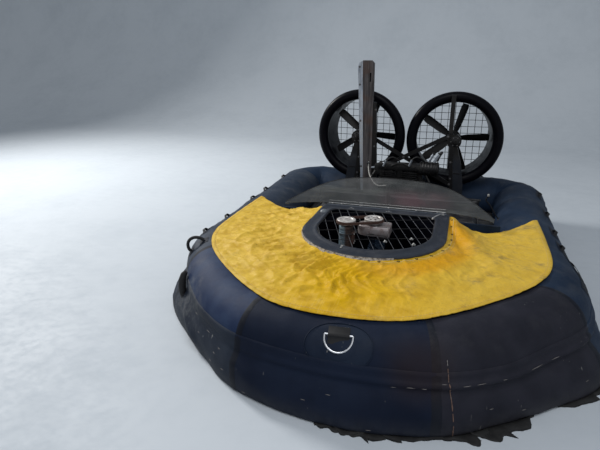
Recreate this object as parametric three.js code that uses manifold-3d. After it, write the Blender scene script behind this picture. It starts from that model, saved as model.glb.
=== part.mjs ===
// Small two-seat folding inflatable hovercraft: a ring of air tubes with a hanging skirt,
// a fabric bow deck round a lift fan, and two ducted thrust fans at the stern.
// Millimetres. Bow towards -Y, port towards +X, +Z up, standing on its skirt at z = 0.
import * as THREE from 'three';
import { mergeVertices } from 'three/addons/utils/BufferGeometryUtils.js';
import Module from 'manifold-3d';

const wasm = await Module();
wasm.setup();

// Driving dimensions
const GAP = 0.3;              // between pieces that touch
const SEAM = 0.2;             // each tube stops this short of its seam
const SIDE_X = 1000;          // reference line of the side tubes, at their widest
const STERN_Y = 1370;         // reference line of the stern tube
const STERN_CORNER = 215;     // how much each stern corner is cut off
const BOW_Y = -1345;          // reference line of the bow tube on the centre line
const HEM_BOW = 65;           // how far the skirt hem stands out at the bow
const HEM_SIDE = 40;          // and along the sides and stern
const TUBE_RX = 175;          // half width of an air tube
const TUBE_RZ = 150;          // half height of an air tube
const TUBE_Z = 200;           // height of the tube's middle
const TUBE_FACES = 16;
const TUBE_TOP = TUBE_Z + TUBE_RZ;
const SKIRT_TOP = TUBE_Z;
const FLOOR_LOW = 110;
const FLOOR_TOP = 125;
const FLOOR_INSET = 323.5;    // floor edge, in from the reference line
const LIFT_Y = -370;          // centre of the lift fan
const LIFT_R = 295;           // inside radius of the lift duct
const LIFT_WALL = 8;
const OPENING_HALF = 325;     // the opening over it: straight sides, a round front, a square rear
const OPENING_Y = -350;       // centre of the round front
const OPENING_REAR = -30;
const COLLAR_HALF = 372;      // half width of the collar plate, and its front radius
const COLLAR_Y = -360;        // centre of the collar's round front
const COLLAR_REAR = 40;
const COLLAR_LOW = 383;
const COLLAR_TOP = 391;
const DECK_THICK = 10;
const DUCT_X = 344;           // thrust ducts, off the centre line
const DUCT_Z = 667;
const DUCT_FRONT = 950;
const DUCT_DEPTH = 270;
const DUCT_LIP_R = 338;       // outside radius of the rolled lip
const DUCT_LIP = 37;          // radius of the roll itself
const DUCT_WALL = 12;
const DUCT_BORE = DUCT_LIP_R - 2 * DUCT_LIP;
const DUCT_REAR = DUCT_FRONT + DUCT_DEPTH;
const DUCT_TOE = 6;           // degrees that each duct's front looks outward
const TOE_Y = 965;            // each duct is turned about an upright line here
const FAN_R = 254;
const FAN_Y = 1085;           // middle of the thrust fans
const FAN_BLADES = 5;
const SHAFT_R = 12;
const SHAFT_PLAY = 0.5;
const GUARD_PITCH = 62;
const GUARD_WIRE = 4;
const RUDDER_Y = 1262;
const RUDDER_HALF = 282;
const PYLON_BACK = 945.4;
const PYLON_Y = PYLON_BACK - 50;
const POST_TOP = 1212;
const TOW_X = 40;
const TOW_R = 48;             // tow ring, to the middle of its bar

// Plan of the hull's reference line, port half: x, y, hem flare
const PLAN = [
  [390, -1310, HEM_BOW],
  [600, -1190, 55],
  [780, -1010, 55],
  [920, -780, 50],
  [SIDE_X, -500, HEM_SIDE],
  [SIDE_X, STERN_Y - STERN_CORNER, HEM_SIDE],
  [SIDE_X - STERN_CORNER, STERN_Y, HEM_SIDE],
];

const COLOURS = {
  hull_navy: [0x2b3444, 0.75, 0],
  hull_charcoal: [0x2e2f34, 0.8, 0],
  skirt: [0x24272e, 0.85, 0],
  deck_yellow: [0xe0a526, 0.7, 0],
  collar: [0x2c3742, 0.7, 0],
  black_moulding: [0x141416, 0.45, 0],
  black_steel: [0x1a1a1d, 0.5, 0.6],
  guard_wire: [0x8a9096, 0.4, 0.9],
  aluminium: [0xb8bfc6, 0.35, 0.9],
  cast_alloy: [0xa6a3a0, 0.5, 0.8],
  rust_belt: [0x5a3423, 0.85, 0],
  smoky_screen: [0x6d6a6e, 0.25, 0],
  cable_sheath: [0xb9b7b0, 0.5, 0],
  timber: [0x6b5a4c, 0.85, 0],
  seat_cloth: [0x1f2126, 0.8, 0],
  floor_board: [0x3a3d41, 0.8, 0],
  steel_bright: [0xc9ccd0, 0.3, 1],
};

const craft = new THREE.Group();

function piece(name, finish, geometry, parent = craft) {
  const [color, roughness, metalness] = COLOURS[finish];
  const mesh = new THREE.Mesh(geometry, new THREE.MeshStandardMaterial({ color, roughness, metalness }));
  mesh.name = name;
  parent.add(mesh);
  return mesh;
}

// Solids: joining and cutting
function solid(geometry) {
  const bare = geometry.clone();
  bare.deleteAttribute('normal');
  bare.deleteAttribute('uv');
  const merged = mergeVertices(bare, 1e-4);
  return new wasm.Manifold(new wasm.Mesh({
    numProp: 3,
    vertProperties: new Float32Array(merged.attributes.position.array),
    triVerts: new Uint32Array(merged.index.array),
  }));
}

function shell(manifold) {
  const mesh = manifold.getMesh();
  const geometry = new THREE.BufferGeometry();
  geometry.setAttribute('position', new THREE.BufferAttribute(new Float32Array(mesh.vertProperties), 3));
  geometry.setIndex(new THREE.BufferAttribute(new Uint32Array(mesh.triVerts), 1));
  geometry.computeVertexNormals();
  return geometry;
}

function join(...geometries) {
  return shell(geometries.map(solid).reduce((all, next) => all.add(next)));
}

function cut(geometry, ...tools) {
  return shell(tools.map(solid).reduce((left, tool) => left.subtract(tool), solid(geometry)));
}

function keep(geometry, tool) {
  return shell(solid(geometry).intersect(solid(tool)));
}

// Shapes in place: a box by its corners, a cylinder by its two ends
function block(x0, x1, y0, y1, z0, z1) {
  const geometry = new THREE.BoxGeometry(x1 - x0, y1 - y0, z1 - z0);
  return geometry.translate((x0 + x1) / 2, (y0 + y1) / 2, (z0 + z1) / 2);
}

function rod(from, to, radius, sides = 16, radiusTo = radius) {
  const a = new THREE.Vector3(...from);
  const b = new THREE.Vector3(...to);
  const geometry = new THREE.CylinderGeometry(radiusTo, radius, a.distanceTo(b), sides);
  const turn = new THREE.Quaternion().setFromUnitVectors(
    new THREE.Vector3(0, 1, 0), b.clone().sub(a).normalize());
  geometry.applyQuaternion(turn);
  return geometry.translate((a.x + b.x) / 2, (a.y + b.y) / 2, (a.z + b.z) / 2);
}

function plate(shape, low, high, curveSegments = 12) {
  const geometry = new THREE.ExtrudeGeometry(shape, { depth: high - low, bevelEnabled: false, curveSegments });
  return geometry.translate(0, 0, low);
}

// A prism along X from an outline of y, z points
function prismX(outline, x0, x1) {
  const shape = new THREE.Shape(outline.map(([y, z]) => new THREE.Vector2(y, z)));
  const turn = new THREE.Matrix4().makeBasis(
    new THREE.Vector3(0, 1, 0), new THREE.Vector3(0, 0, 1), new THREE.Vector3(1, 0, 0));
  return plate(shape, x0, x1).applyMatrix4(turn);
}

// A panel that stands across the craft, from an outline of x, z points
function standing(outline, y0, y1) {
  const shape = new THREE.Shape(outline.map(([x, z]) => new THREE.Vector2(x, z)));
  return plate(shape, -y1, -y0).rotateX(Math.PI / 2);
}

function circlePath(x, y, radius) {
  const path = new THREE.Path();
  path.absarc(x, y, radius, 0, 2 * Math.PI, true);
  return path;
}

// Straight sides, a round front towards -Y and a square rear
function roundFront(path, half, centreY, rear) {
  path.moveTo(half, rear);
  path.lineTo(-half, rear);
  path.lineTo(-half, centreY);
  path.absarc(0, centreY, half, Math.PI, 2 * Math.PI, false);
  path.closePath();
  return path;
}

// A round bar bent through points
function bent(points, radius, steps) {
  const shape = new THREE.Shape();
  shape.absarc(0, 0, radius, 0, 2 * Math.PI, false);
  const extrudePath = new THREE.CatmullRomCurve3(points.map((at) => new THREE.Vector3(...at)));
  return new THREE.ExtrudeGeometry(shape, { steps, extrudePath, bevelEnabled: false, curveSegments: 5 });
}

// A skin over sections with the same number of points, closed at both ends
function loft(sections) {
  const n = sections[0].length;
  const last = (sections.length - 1) * n;
  const index = [];
  for (let k = 0; k < sections.length - 1; k += 1) {
    for (let i = 0; i < n; i += 1) {
      const a = k * n + i;
      const b = k * n + ((i + 1) % n);
      index.push(a, b, b + n, a, b + n, a + n);
    }
  }
  for (let i = 0; i < Math.floor(n / 2) - 1; i += 1) {
    const j = n - 1 - i;
    index.push(i, j, i + 1, i + 1, j, j - 1);
    index.push(last + i, last + i + 1, last + j, last + i + 1, last + j - 1, last + j);
  }
  const points = sections.flat();
  let volume = 0;
  for (let t = 0; t < index.length; t += 3) {
    const [p, q, r] = [points[index[t]], points[index[t + 1]], points[index[t + 2]]];
    volume += p.dot(new THREE.Vector3().crossVectors(q, r));
  }
  if (volume < 0) {
    index.reverse();
  }
  const geometry = new THREE.BufferGeometry();
  const flat = points.flatMap((p) => [p.x, p.y, p.z]);
  geometry.setAttribute('position', new THREE.Float32BufferAttribute(flat, 3));
  geometry.setIndex(index);
  geometry.computeVertexNormals();
  return geometry;
}

// The hull's plan as one loop: bow centre, port side, stern, starboard side
function planLoop() {
  const port = PLAN.map(([x, y, flare]) => ({ x, y, flare }));
  const starboard = [...PLAN].reverse().map(([x, y, flare]) => ({ x: -x, y, flare }));
  return [{ x: 0, y: BOW_Y, flare: HEM_BOW }, ...port, ...starboard];
}

const LOOP = planLoop();

// Outward mitre direction at a plan corner, scaled so that offsets hold on both sides
function mitre(k) {
  const count = LOOP.length;
  const prev = LOOP[(k + count - 1) % count];
  const here = LOOP[k % count];
  const next = LOOP[(k + 1) % count];
  const into = new THREE.Vector2(here.x - prev.x, here.y - prev.y).normalize();
  const away = new THREE.Vector2(next.x - here.x, next.y - here.y).normalize();
  const n1 = new THREE.Vector2(into.y, -into.x);
  const n2 = new THREE.Vector2(away.y, -away.x);
  const sum = n1.clone().add(n2);
  return sum.multiplyScalar(1 / (1 + n1.dot(n2)));
}

// Cross-sections as lists of [offset out from the reference line, height]
function tubeSection() {
  const section = [];
  for (let i = 0; i < TUBE_FACES; i += 1) {
    const a = (2 * Math.PI * i) / TUBE_FACES;
    section.push([-TUBE_RX + TUBE_RX * Math.cos(a), TUBE_Z + TUBE_RZ * Math.sin(a)]);
  }
  return section;
}

function skirtSection(flare) {
  const step = (2 * Math.PI) / TUBE_FACES;
  const under = [TUBE_RX * (Math.cos(step) - 1), TUBE_Z - TUBE_RZ * Math.sin(step)];
  return [
    [GAP + 0.2, SKIRT_TOP],
    [under[0] + GAP + 0.2, under[1]],
    [flare - 40, 0],
    [flare, 0],
    [flare * 0.35, 110],
    [14, SKIRT_TOP],
  ];
}

function hullRun(first, last, sectionOf) {
  const sections = [];
  for (let k = first; k <= last; k += 1) {
    const at = LOOP[(k + LOOP.length) % LOOP.length];
    const out = mitre((k + LOOP.length) % LOOP.length);
    const shift = new THREE.Vector2(0, 0);
    if (k === first || k === last) {
      const other = LOOP[(k + (k === first ? 1 : -1) + LOOP.length) % LOOP.length];
      shift.set(other.x - at.x, other.y - at.y).normalize().multiplyScalar(SEAM);
    }
    sections.push(sectionOf(at.flare).map(([o, z]) => (
      new THREE.Vector3(at.x + out.x * o + shift.x, at.y + out.y * o + shift.y, z))));
  }
  return loft(sections);
}

// Name, first and last plan corner, tube finish
const RUNS = [
  ['bow', -1, 1, 'hull_navy'],
  ['corner_port', 1, 4, 'hull_charcoal'],
  ['side_port', 4, 6, 'hull_charcoal'],
  ['stern', 6, 9, 'hull_charcoal'],
  ['side_starboard', 9, 11, 'hull_navy'],
  ['corner_starboard', 11, 14, 'hull_navy'],
];

function hull() {
  for (const [name, first, last, finish] of RUNS) {
    piece(`tube_${name}`, finish, hullRun(first, last, tubeSection));
    piece(`skirt_${name}`, 'skirt', hullRun(first, last, skirtSection));
  }
}

function floorPanel() {
  const shape = new THREE.Shape();
  LOOP.forEach((at, k) => {
    const out = mitre(k);
    const x = at.x - out.x * FLOOR_INSET;
    const y = at.y - out.y * FLOOR_INSET;
    if (k === 0) {
      shape.moveTo(x, y);
    } else {
      shape.lineTo(x, y);
    }
  });
  shape.holes.push(circlePath(0, LIFT_Y, LIFT_R + LIFT_WALL + 1.2));
  piece('floor_panel', 'floor_board', plate(shape, FLOOR_LOW, FLOOR_TOP, 24));
}

// Bow deck: a draped sheet round the collar.
// Each line across it, port half: inner x, y; fold x, y; outer x, y
const DECK_LINES = [
  [360, 35, 590, -10, 856, 215],
  [360, -160, 600, -160, 862, -120],
  [360, -360, 600, -385, 848, -470],
  [333, -498, 560, -575, 770, -690],
  [255, -615, 430, -745, 610, -900],
  [138, -693, 250, -880, 400, -1100],
  [75, -712, 125, -950, 230, -1195],
  [0, -720, 0, -970, 0, -1222],
];
const DECK_INNER_Z = COLLAR_LOW - GAP - DECK_THICK;
const DECK_FOLD_Z = 358;
const DECK_OUTER_Z = TUBE_TOP + 2 * GAP;

function bowDeck() {
  const half = DECK_LINES.map(([ix, iy, fx, fy, ox, oy]) => [
    [ix, iy, DECK_INNER_Z],
    [fx, fy, DECK_FOLD_Z],
    [ox, oy, DECK_OUTER_Z],
  ]);
  const mirrored = half.slice(0, -1).reverse().map((line) => line.map(([x, y, z]) => [-x, y, z]));
  const sections = [...half, ...mirrored].map((line) => {
    const under = line.map(([x, y, z]) => new THREE.Vector3(x, y, z));
    const over = line.map(([x, y, z]) => new THREE.Vector3(x, y, z + DECK_THICK)).reverse();
    return [...under, ...over];
  });
  piece('bow_deck', 'deck_yellow', loft(sections));
}

function collar() {
  const shape = roundFront(new THREE.Shape(), COLLAR_HALF, COLLAR_Y, COLLAR_REAR);
  shape.holes.push(roundFront(new THREE.Path(), OPENING_HALF, OPENING_Y, OPENING_REAR));
  piece('fan_collar', 'collar', plate(shape, COLLAR_LOW, COLLAR_TOP, 24));
}

function ring(inner, outer, low, high, segments = 40) {
  const profile = [
    new THREE.Vector2(inner, low),
    new THREE.Vector2(outer, low),
    new THREE.Vector2(outer, high),
    new THREE.Vector2(inner, high),
    new THREE.Vector2(inner, low),
  ];
  return new THREE.LatheGeometry(profile, segments).rotateX(Math.PI / 2);
}

function upright(geometry, x, y) {
  return geometry.translate(x, y, 0);
}

// Lift unit
const LIFT_FAN_LOW = 205;
const LIFT_FAN_HIGH = 265;
const LIFT_GUARD_PITCH = 48;
const LIFT_GUARD_TURN = 19.5; // degrees that its rods are turned from fore-and-aft
const GUARD_LOW = COLLAR_TOP + GAP;
const GUARD_HIGH = GUARD_LOW + 7;
const HOUSING_LOW = GUARD_HIGH + GAP;
const HOUSING_HIGH = 438;
const PULLEY_LOW = 446;
const PULLEY_HIGH = 466;
const PULLEY_R = 48;
const BELT_R = 48.7;
const BELT_THICK = 4;
const MOTOR_X = -130;
const MOTOR_Y = -432;
const MOTOR_R = 37;
const MOTOR_LOW = 300;

function liftDuct() {
  const top = COLLAR_LOW - GAP;
  const barrel = upright(ring(LIFT_R, LIFT_R + LIFT_WALL, FLOOR_LOW - 5, top), 0, LIFT_Y);
  const shape = roundFront(new THREE.Shape(), 345, COLLAR_Y, COLLAR_REAR - 5);
  const flange = cut(plate(shape, top - LIFT_WALL, top, 24),
    rod([0, LIFT_Y, 300], [0, LIFT_Y, 500], LIFT_R + 2, 40));
  piece('lift_duct', 'black_moulding', join(barrel, flange));
}

function liftGuard() {
  const bars = [];
  const reach = 480;
  for (let k = -9; k <= 9; k += 1) {
    const off = k * LIFT_GUARD_PITCH;
    bars.push(block(off - 2, off + 2, -reach, reach, GUARD_LOW, GUARD_LOW + 4));
    if (k % 3 === 0) {
      bars.push(block(-reach, reach, off - 2, off + 2, GUARD_LOW + 3, GUARD_HIGH));
    }
  }
  const turn = THREE.MathUtils.degToRad(LIFT_GUARD_TURN);
  const turned = bars.map((bar) => bar.rotateZ(turn).translate(0, OPENING_Y, 0));
  const outline = (path, inset) => (
    roundFront(path, OPENING_HALF + 12 - inset, OPENING_Y, OPENING_REAR + 12 - inset));
  const wires = keep(join(...turned), plate(outline(new THREE.Shape(), 10), GUARD_LOW, GUARD_HIGH, 24));
  const frame = outline(new THREE.Shape(), 0);
  frame.holes.push(outline(new THREE.Path(), 19));
  const rim = plate(frame, GUARD_LOW, GUARD_HIGH, 24);
  const hub = rod([0, LIFT_Y, GUARD_LOW], [0, LIFT_Y, GUARD_HIGH], 55, 24);
  const seat = rod([MOTOR_X, MOTOR_Y, GUARD_LOW], [MOTOR_X, MOTOR_Y, GUARD_HIGH], MOTOR_R + 10, 24);
  const whole = join(rim, hub, seat, wires);
  piece('lift_guard', 'guard_wire', cut(whole,
    rod([0, LIFT_Y, 300], [0, LIFT_Y, 500], SHAFT_R + 4, 24),
    rod([MOTOR_X, MOTOR_Y, 300], [MOTOR_X, MOTOR_Y, 500], MOTOR_R + GAP, 24)));
}

// A fan about +Z at the origin: hub, twisted paddle blades
function fanGeometry(hubR, tipR, low, high, blades, chord, twist, start) {
  const parts = [rod([0, 0, low], [0, 0, high], hubR, 24)];
  for (let k = 0; k < blades; k += 1) {
    const sections = [0.75, 1.15, tipR / hubR].map((f, i) => {
      const r = hubR * f;
      const pitch = THREE.MathUtils.degToRad(twist - 9 * i);
      const c = chord * (i === 0 ? 0.7 : 1);
      const mid = (low + high) / 2;
      const along = [Math.cos(pitch), Math.sin(pitch)];
      const across = [-along[1] * 3, along[0] * 3];
      return [
        new THREE.Vector3(r, -c / 2 * along[0] - across[0], mid - c / 2 * along[1] - across[1]),
        new THREE.Vector3(r, c / 2 * along[0] - across[0], mid + c / 2 * along[1] - across[1]),
        new THREE.Vector3(r, c / 2 * along[0] + across[0], mid + c / 2 * along[1] + across[1]),
        new THREE.Vector3(r, -c / 2 * along[0] + across[0], mid - c / 2 * along[1] + across[1]),
      ];
    });
    parts.push(loft(sections).rotateZ(THREE.MathUtils.degToRad(start + (360 * k) / blades)));
  }
  return parts;
}

function liftDrive() {
  const fan = fanGeometry(60, LIFT_R - 12, LIFT_FAN_LOW, LIFT_FAN_HIGH, FAN_BLADES, 95, 38, 20);
  const shaft = rod([0, 0, LIFT_FAN_LOW], [0, 0, PULLEY_LOW - GAP], SHAFT_R, 16);
  piece('lift_fan', 'black_moulding', join(...fan, shaft).translate(0, LIFT_Y, 0));
  const pulley = () => cut(rod([0, 0, PULLEY_LOW], [0, 0, PULLEY_HIGH], PULLEY_R, 40),
    rod([0, 0, PULLEY_HIGH - 6], [0, 0, PULLEY_HIGH + 10], 16, 20));
  piece('lift_pulley', 'cast_alloy', pulley().translate(0, LIFT_Y, 0));
  const stub = rod([0, 0, 415], [0, 0, PULLEY_LOW + 2], 8, 16);
  piece('drive_pulley', 'cast_alloy', join(pulley(), stub).translate(MOTOR_X, MOTOR_Y, 0));
  const motor = cut(rod([0, 0, MOTOR_LOW], [0, 0, HOUSING_HIGH + 3], MOTOR_R, 24),
    rod([0, 0, 410], [0, 0, 460], 8 + SHAFT_PLAY, 16));
  piece('lift_motor', 'aluminium', motor.translate(MOTOR_X, MOTOR_Y, 0));
  const body = new THREE.Shape();
  body.moveTo(90, LIFT_Y - 50);
  body.lineTo(90, LIFT_Y + 50);
  body.lineTo(-30, LIFT_Y + 50);
  body.absarc(-30, LIFT_Y, 50, Math.PI / 2, 1.5 * Math.PI, false);
  const housing = cut(plate(body, HOUSING_LOW, HOUSING_HIGH, 16),
    rod([0, LIFT_Y, 380], [0, LIFT_Y, 460], SHAFT_R + SHAFT_PLAY, 16));
  piece('lift_bearing_housing', 'cast_alloy', housing);
  piece('drive_belt', 'rust_belt', beltGeometry());
}

function beltGeometry() {
  const dx = -MOTOR_X;
  const dy = LIFT_Y - MOTOR_Y;
  const run = Math.hypot(dx, dy);
  const outline = (radius, path) => {
    path.absarc(0, 0, radius, Math.PI / 2, 1.5 * Math.PI, false);
    path.absarc(run, 0, radius, -Math.PI / 2, Math.PI / 2, false);
    path.closePath();
    return path;
  };
  const shape = outline(BELT_R + BELT_THICK, new THREE.Shape());
  shape.holes.push(outline(BELT_R, new THREE.Path()));
  const belt = plate(shape, PULLEY_LOW + 3, PULLEY_HIGH - 3, 12);
  return belt.rotateZ(Math.atan2(dy, dx)).translate(MOTOR_X, MOTOR_Y, 0);
}

// Windscreen: port half of each line up the sheet: x; foot y, z; top y, z
const SCREEN_LINES = [
  [0, 52, 396.5, 250, 525],
  [200, 52, 396.5, 245, 517],
  [345, 52, 396.5, 215, 497],
  [470, 42, 391, 155, 455],
  [560, 18, 385, 78, 414],
  [610, -6, 380, 14, 391],
];
const SCREEN_THICK = 4;

function windscreen() {
  const mirrored = SCREEN_LINES.slice(1).reverse().map(([x, ...rest]) => [-x, ...rest]);
  const lines = [...mirrored, ...SCREEN_LINES];
  const sections = lines.map(([x, fy, fz, ty, tz]) => {
    const bow = 0.16 * Math.hypot(ty - fy, tz - fz);
    const slope = new THREE.Vector2(ty - fy, tz - fz).normalize();
    const up = new THREE.Vector2(-slope.y, slope.x);
    const heights = [0, 0.5, 1].map((t) => [
      fy + (ty - fy) * t + up.x * bow * t * (1 - t),
      fz + (tz - fz) * t + up.y * bow * t * (1 - t),
    ]);
    const face = heights.map(([y, z]) => new THREE.Vector3(x, y, z));
    const back = heights.map(([y, z]) => (
      new THREE.Vector3(x, y + up.x * SCREEN_THICK, z + up.y * SCREEN_THICK))).reverse();
    return [...face, ...back];
  });
  piece('windscreen', 'smoky_screen', loft(sections));
  piece('windscreen_rail', 'aluminium', block(-352, 352, COLLAR_REAR + GAP, 74, 385.3, 396));
}

function bulkhead() {
  const shape = new THREE.Shape();
  const wide = SIDE_X - 2 * TUBE_RX - GAP;
  shape.moveTo(-wide, FLOOR_TOP + GAP);
  shape.lineTo(wide, FLOOR_TOP + GAP);
  shape.lineTo(wide, TUBE_TOP - 4);
  shape.lineTo(350, TUBE_TOP - 4);
  shape.lineTo(350, 385);
  shape.lineTo(-350, 385);
  shape.lineTo(-350, TUBE_TOP - 4);
  shape.lineTo(-wide, TUBE_TOP - 4);
  const panel = plate(shape, -62, -44);
  piece('cockpit_bulkhead', 'floor_board', panel.rotateX(Math.PI / 2));
}

// Seat and control stick. The stick tilts sideways on a pin between its socket's cheeks
const STICK_X = -20;
const STICK_Y = 300;
const STICK_PIVOT = 160;      // height of the pin
const STICK_TOP = 470;
const STICK_R = 14;
const PIN_R = 6;
const EYE_HALF = 16;          // half length of the stick's eye, along the pin
const CHEEK = 8;

function cockpit() {
  piece('seat_cushion', 'seat_cloth', block(-560, 560, 390, 640, FLOOR_TOP + GAP, 235));
  piece('seat_back', 'seat_cloth', block(-560, 560, 600, 652, 235 + GAP, 345));
  const upright = (low, high, radius) => rod([STICK_X, STICK_Y, low], [STICK_X, STICK_Y, high], radius, 16);
  const along = (half, radius) => (
    rod([STICK_X, STICK_Y - half, STICK_PIVOT], [STICK_X, STICK_Y + half, STICK_PIVOT], radius, 16));
  const pinHalf = EYE_HALF + SHAFT_PLAY + CHEEK + 4;
  piece('control_stick', 'black_steel', join(
    upright(STICK_PIVOT, STICK_TOP, STICK_R - 4),
    upright(STICK_TOP - 120, STICK_TOP, STICK_R),
    along(EYE_HALF, EYE_HALF),
    along(pinHalf, PIN_R)));
  const low = FLOOR_TOP + GAP;
  const cheeks = [-1, 1].map((side) => {
    const near = STICK_Y + side * (EYE_HALF + SHAFT_PLAY);
    const far = near + side * CHEEK;
    return block(STICK_X - 18, STICK_X + 18, Math.min(near, far), Math.max(near, far), low, STICK_PIVOT + 18);
  });
  const foot = block(STICK_X - 42, STICK_X + 42, STICK_Y - 42, STICK_Y + 42, low, low + CHEEK);
  piece('stick_socket', 'black_steel', cut(join(foot, ...cheeks), along(pinHalf + 10, PIN_R + SHAFT_PLAY)));
}

// Throttle cable: down the post's forward face, over the seat back, to the back of the stick
const CABLE_R = 4;
const CABLE_ROUTE = [
  [-240, 800.2, 508],
  [-240, 800, 488],
  [-236, 780, 462],
  [-215, 700, 441],
  [-184, 600, 434],
  [-140, 480, 431],
  [-98, 400, 437],
  [-60, 362, 450],
  [-28, 340, 460],
  [STICK_X, 326, 463],
  [STICK_X, STICK_Y + STICK_R + 2 * GAP, 463],
];

function throttleCable() {
  piece('throttle_cable', 'cable_sheath', bent(CABLE_ROUTE, CABLE_R, 40));
}

// A piece drawn about a duct's own axis, set in its toed place
function toed(geometry, sign) {
  return geometry
    .translate(0, -TOE_Y, 0)
    .rotateZ(THREE.MathUtils.degToRad(sign * DUCT_TOE))
    .translate(sign * DUCT_X, TOE_Y, 0);
}

function ductGeometry() {
  const profile = [];
  const lipSteps = 7;
  for (let k = 0; k <= lipSteps; k += 1) {
    const a = Math.PI * (k / lipSteps);
    profile.push([
      DUCT_LIP_R - DUCT_LIP + DUCT_LIP * Math.cos(a),
      DUCT_FRONT + DUCT_LIP - DUCT_LIP * Math.sin(a),
    ]);
  }
  profile.push([DUCT_BORE, DUCT_REAR]);
  profile.push([DUCT_BORE + DUCT_WALL, DUCT_REAR]);
  profile.push([DUCT_BORE + DUCT_WALL, DUCT_FRONT + 2.1 * DUCT_LIP]);
  profile.push([DUCT_LIP_R - 4, DUCT_FRONT + 1.6 * DUCT_LIP]);
  profile.push(profile[0]);
  profile.reverse();
  const lathe = new THREE.LatheGeometry(profile.map(([r, y]) => new THREE.Vector2(r, y)), 40);
  lathe.translate(0, 0, DUCT_Z);
  const lugs = [1, -1].flatMap((side) => {
    const z = (low, high) => {
      const pair = [DUCT_Z + side * low, DUCT_Z + side * high];
      return [Math.min(...pair), Math.max(...pair)];
    };
    return [
      block(-15, 15, DUCT_REAR - 45, DUCT_REAR - 5, ...z(DUCT_BORE + 5, 303)),
      block(-15, 15, DUCT_REAR - 45, RUDDER_Y + 18, ...z(293, 303)),
    ];
  });
  return cut(join(lathe, ...lugs), rod([0, RUDDER_Y, 200], [0, RUDDER_Y, 1200], 5.5, 16));
}

function guardGeometry() {
  const front = DUCT_REAR + GAP;
  const reach = DUCT_BORE + 6;
  const bars = [];
  for (let k = -4; k <= 4; k += 1) {
    const off = k * GUARD_PITCH;
    const half = Math.sqrt(reach * reach - off * off);
    bars.push(block(off - 2, off + 2, front, front + GUARD_WIRE, -half, half));
    bars.push(block(-half, half, front + 3, front + 3 + GUARD_WIRE, off - 2, off + 2));
  }
  const rim = ring(DUCT_BORE, DUCT_BORE + DUCT_WALL, -front - 7, -front).rotateX(Math.PI / 2);
  return join(rim, ...bars).translate(0, 0, DUCT_Z);
}

function thrustFan(start) {
  const fan = fanGeometry(52, FAN_R, -28, 28, FAN_BLADES, 62, 40, start);
  const shaft = rod([0, 0, 0], [0, 0, FAN_Y - PYLON_Y + 20], SHAFT_R, 16);
  const nose = rod([0, 0, 26], [0, 0, 60], 40, 24, 20);
  return join(...fan, nose, shaft).rotateX(Math.PI / 2).translate(0, FAN_Y, DUCT_Z);
}

// Pylon: a leg that widens outboard towards its foot, a hub and a narrow bar up to the lip
const LEG_INNER = [[-32, DUCT_Z], [-21, 500], [-8, 350], [-6, FLOOR_TOP + 5]];
const LEG_OUTER = [[92, FLOOR_TOP + 5], [87, 350], [63, 500], [22, 640], [22, DUCT_Z]];

function pylonGeometry(sign) {
  const low = FLOOR_TOP + GAP;
  const at = (x) => sign * (DUCT_X + x);
  const across = (x0, x1, ...rest) => block(Math.min(at(x0), at(x1)), Math.max(at(x0), at(x1)), ...rest);
  const foot = across(-50, 150, PYLON_Y - 30, PYLON_BACK, low, low + 10);
  const outline = [...LEG_INNER, ...LEG_OUTER].map(([x, z]) => [at(x), z]);
  const leg = keep(standing(outline, PYLON_Y, PYLON_BACK), block(-900, 900, 0, 1500, low + 8, 1500));
  const hub = rod([at(0), PYLON_Y, DUCT_Z], [at(0), PYLON_BACK, DUCT_Z], 50, 32);
  const upper = across(-44, -14, PYLON_Y + 20, PYLON_BACK, DUCT_Z, DUCT_Z + DUCT_LIP_R - 20);
  const bore = rod([0, PYLON_Y - 50, DUCT_Z], [0, PYLON_BACK + 50, DUCT_Z], SHAFT_R + SHAFT_PLAY, 16);
  return cut(join(foot, leg, hub, upper), toed(bore, sign));
}

function braceGeometry(side, y) {
  const from = new THREE.Vector2(-side * 316, 712);
  const to = new THREE.Vector2(side * 352, 350);
  const bar = block(0, from.distanceTo(to), y, y + 10, -14, 14);
  const angle = Math.atan2(to.y - from.y, to.x - from.x);
  return bar.rotateY(-angle).translate(from.x, 0, from.y);
}

function rudderGeometry() {
  const blade = new THREE.Shape();
  blade.moveTo(-6, -17);
  blade.lineTo(6, -17);
  blade.lineTo(7, 20);
  blade.lineTo(2, 138);
  blade.lineTo(-2, 138);
  blade.lineTo(-7, 20);
  const panel = plate(blade, -RUDDER_HALF, RUDDER_HALF);
  const pin = rod([0, 0, -306], [0, 0, 306], 5, 16);
  return join(panel, pin).translate(0, RUDDER_Y, DUCT_Z);
}

// A wedge on the stern tube's forward shoulder, up to the duct's barrel
function saddleGeometry(sign) {
  const step = (2 * Math.PI) / TUBE_FACES;
  const run = TUBE_RX * Math.sin(step);
  const fall = TUBE_RZ * (1 - Math.cos(step));
  const under = (y) => TUBE_TOP - (fall * (STERN_Y - TUBE_RX - y)) / run + 2 * GAP;
  const [front, rear] = [1131, 1172];
  const top = DUCT_Z - DUCT_BORE - DUCT_WALL - GAP;
  const x = sign * (DUCT_X - (rear - TOE_Y) * Math.sin(THREE.MathUtils.degToRad(DUCT_TOE)));
  return prismX([[front, under(front)], [rear, under(rear)], [rear, top], [front, top]], x - 70, x + 70);
}

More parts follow.
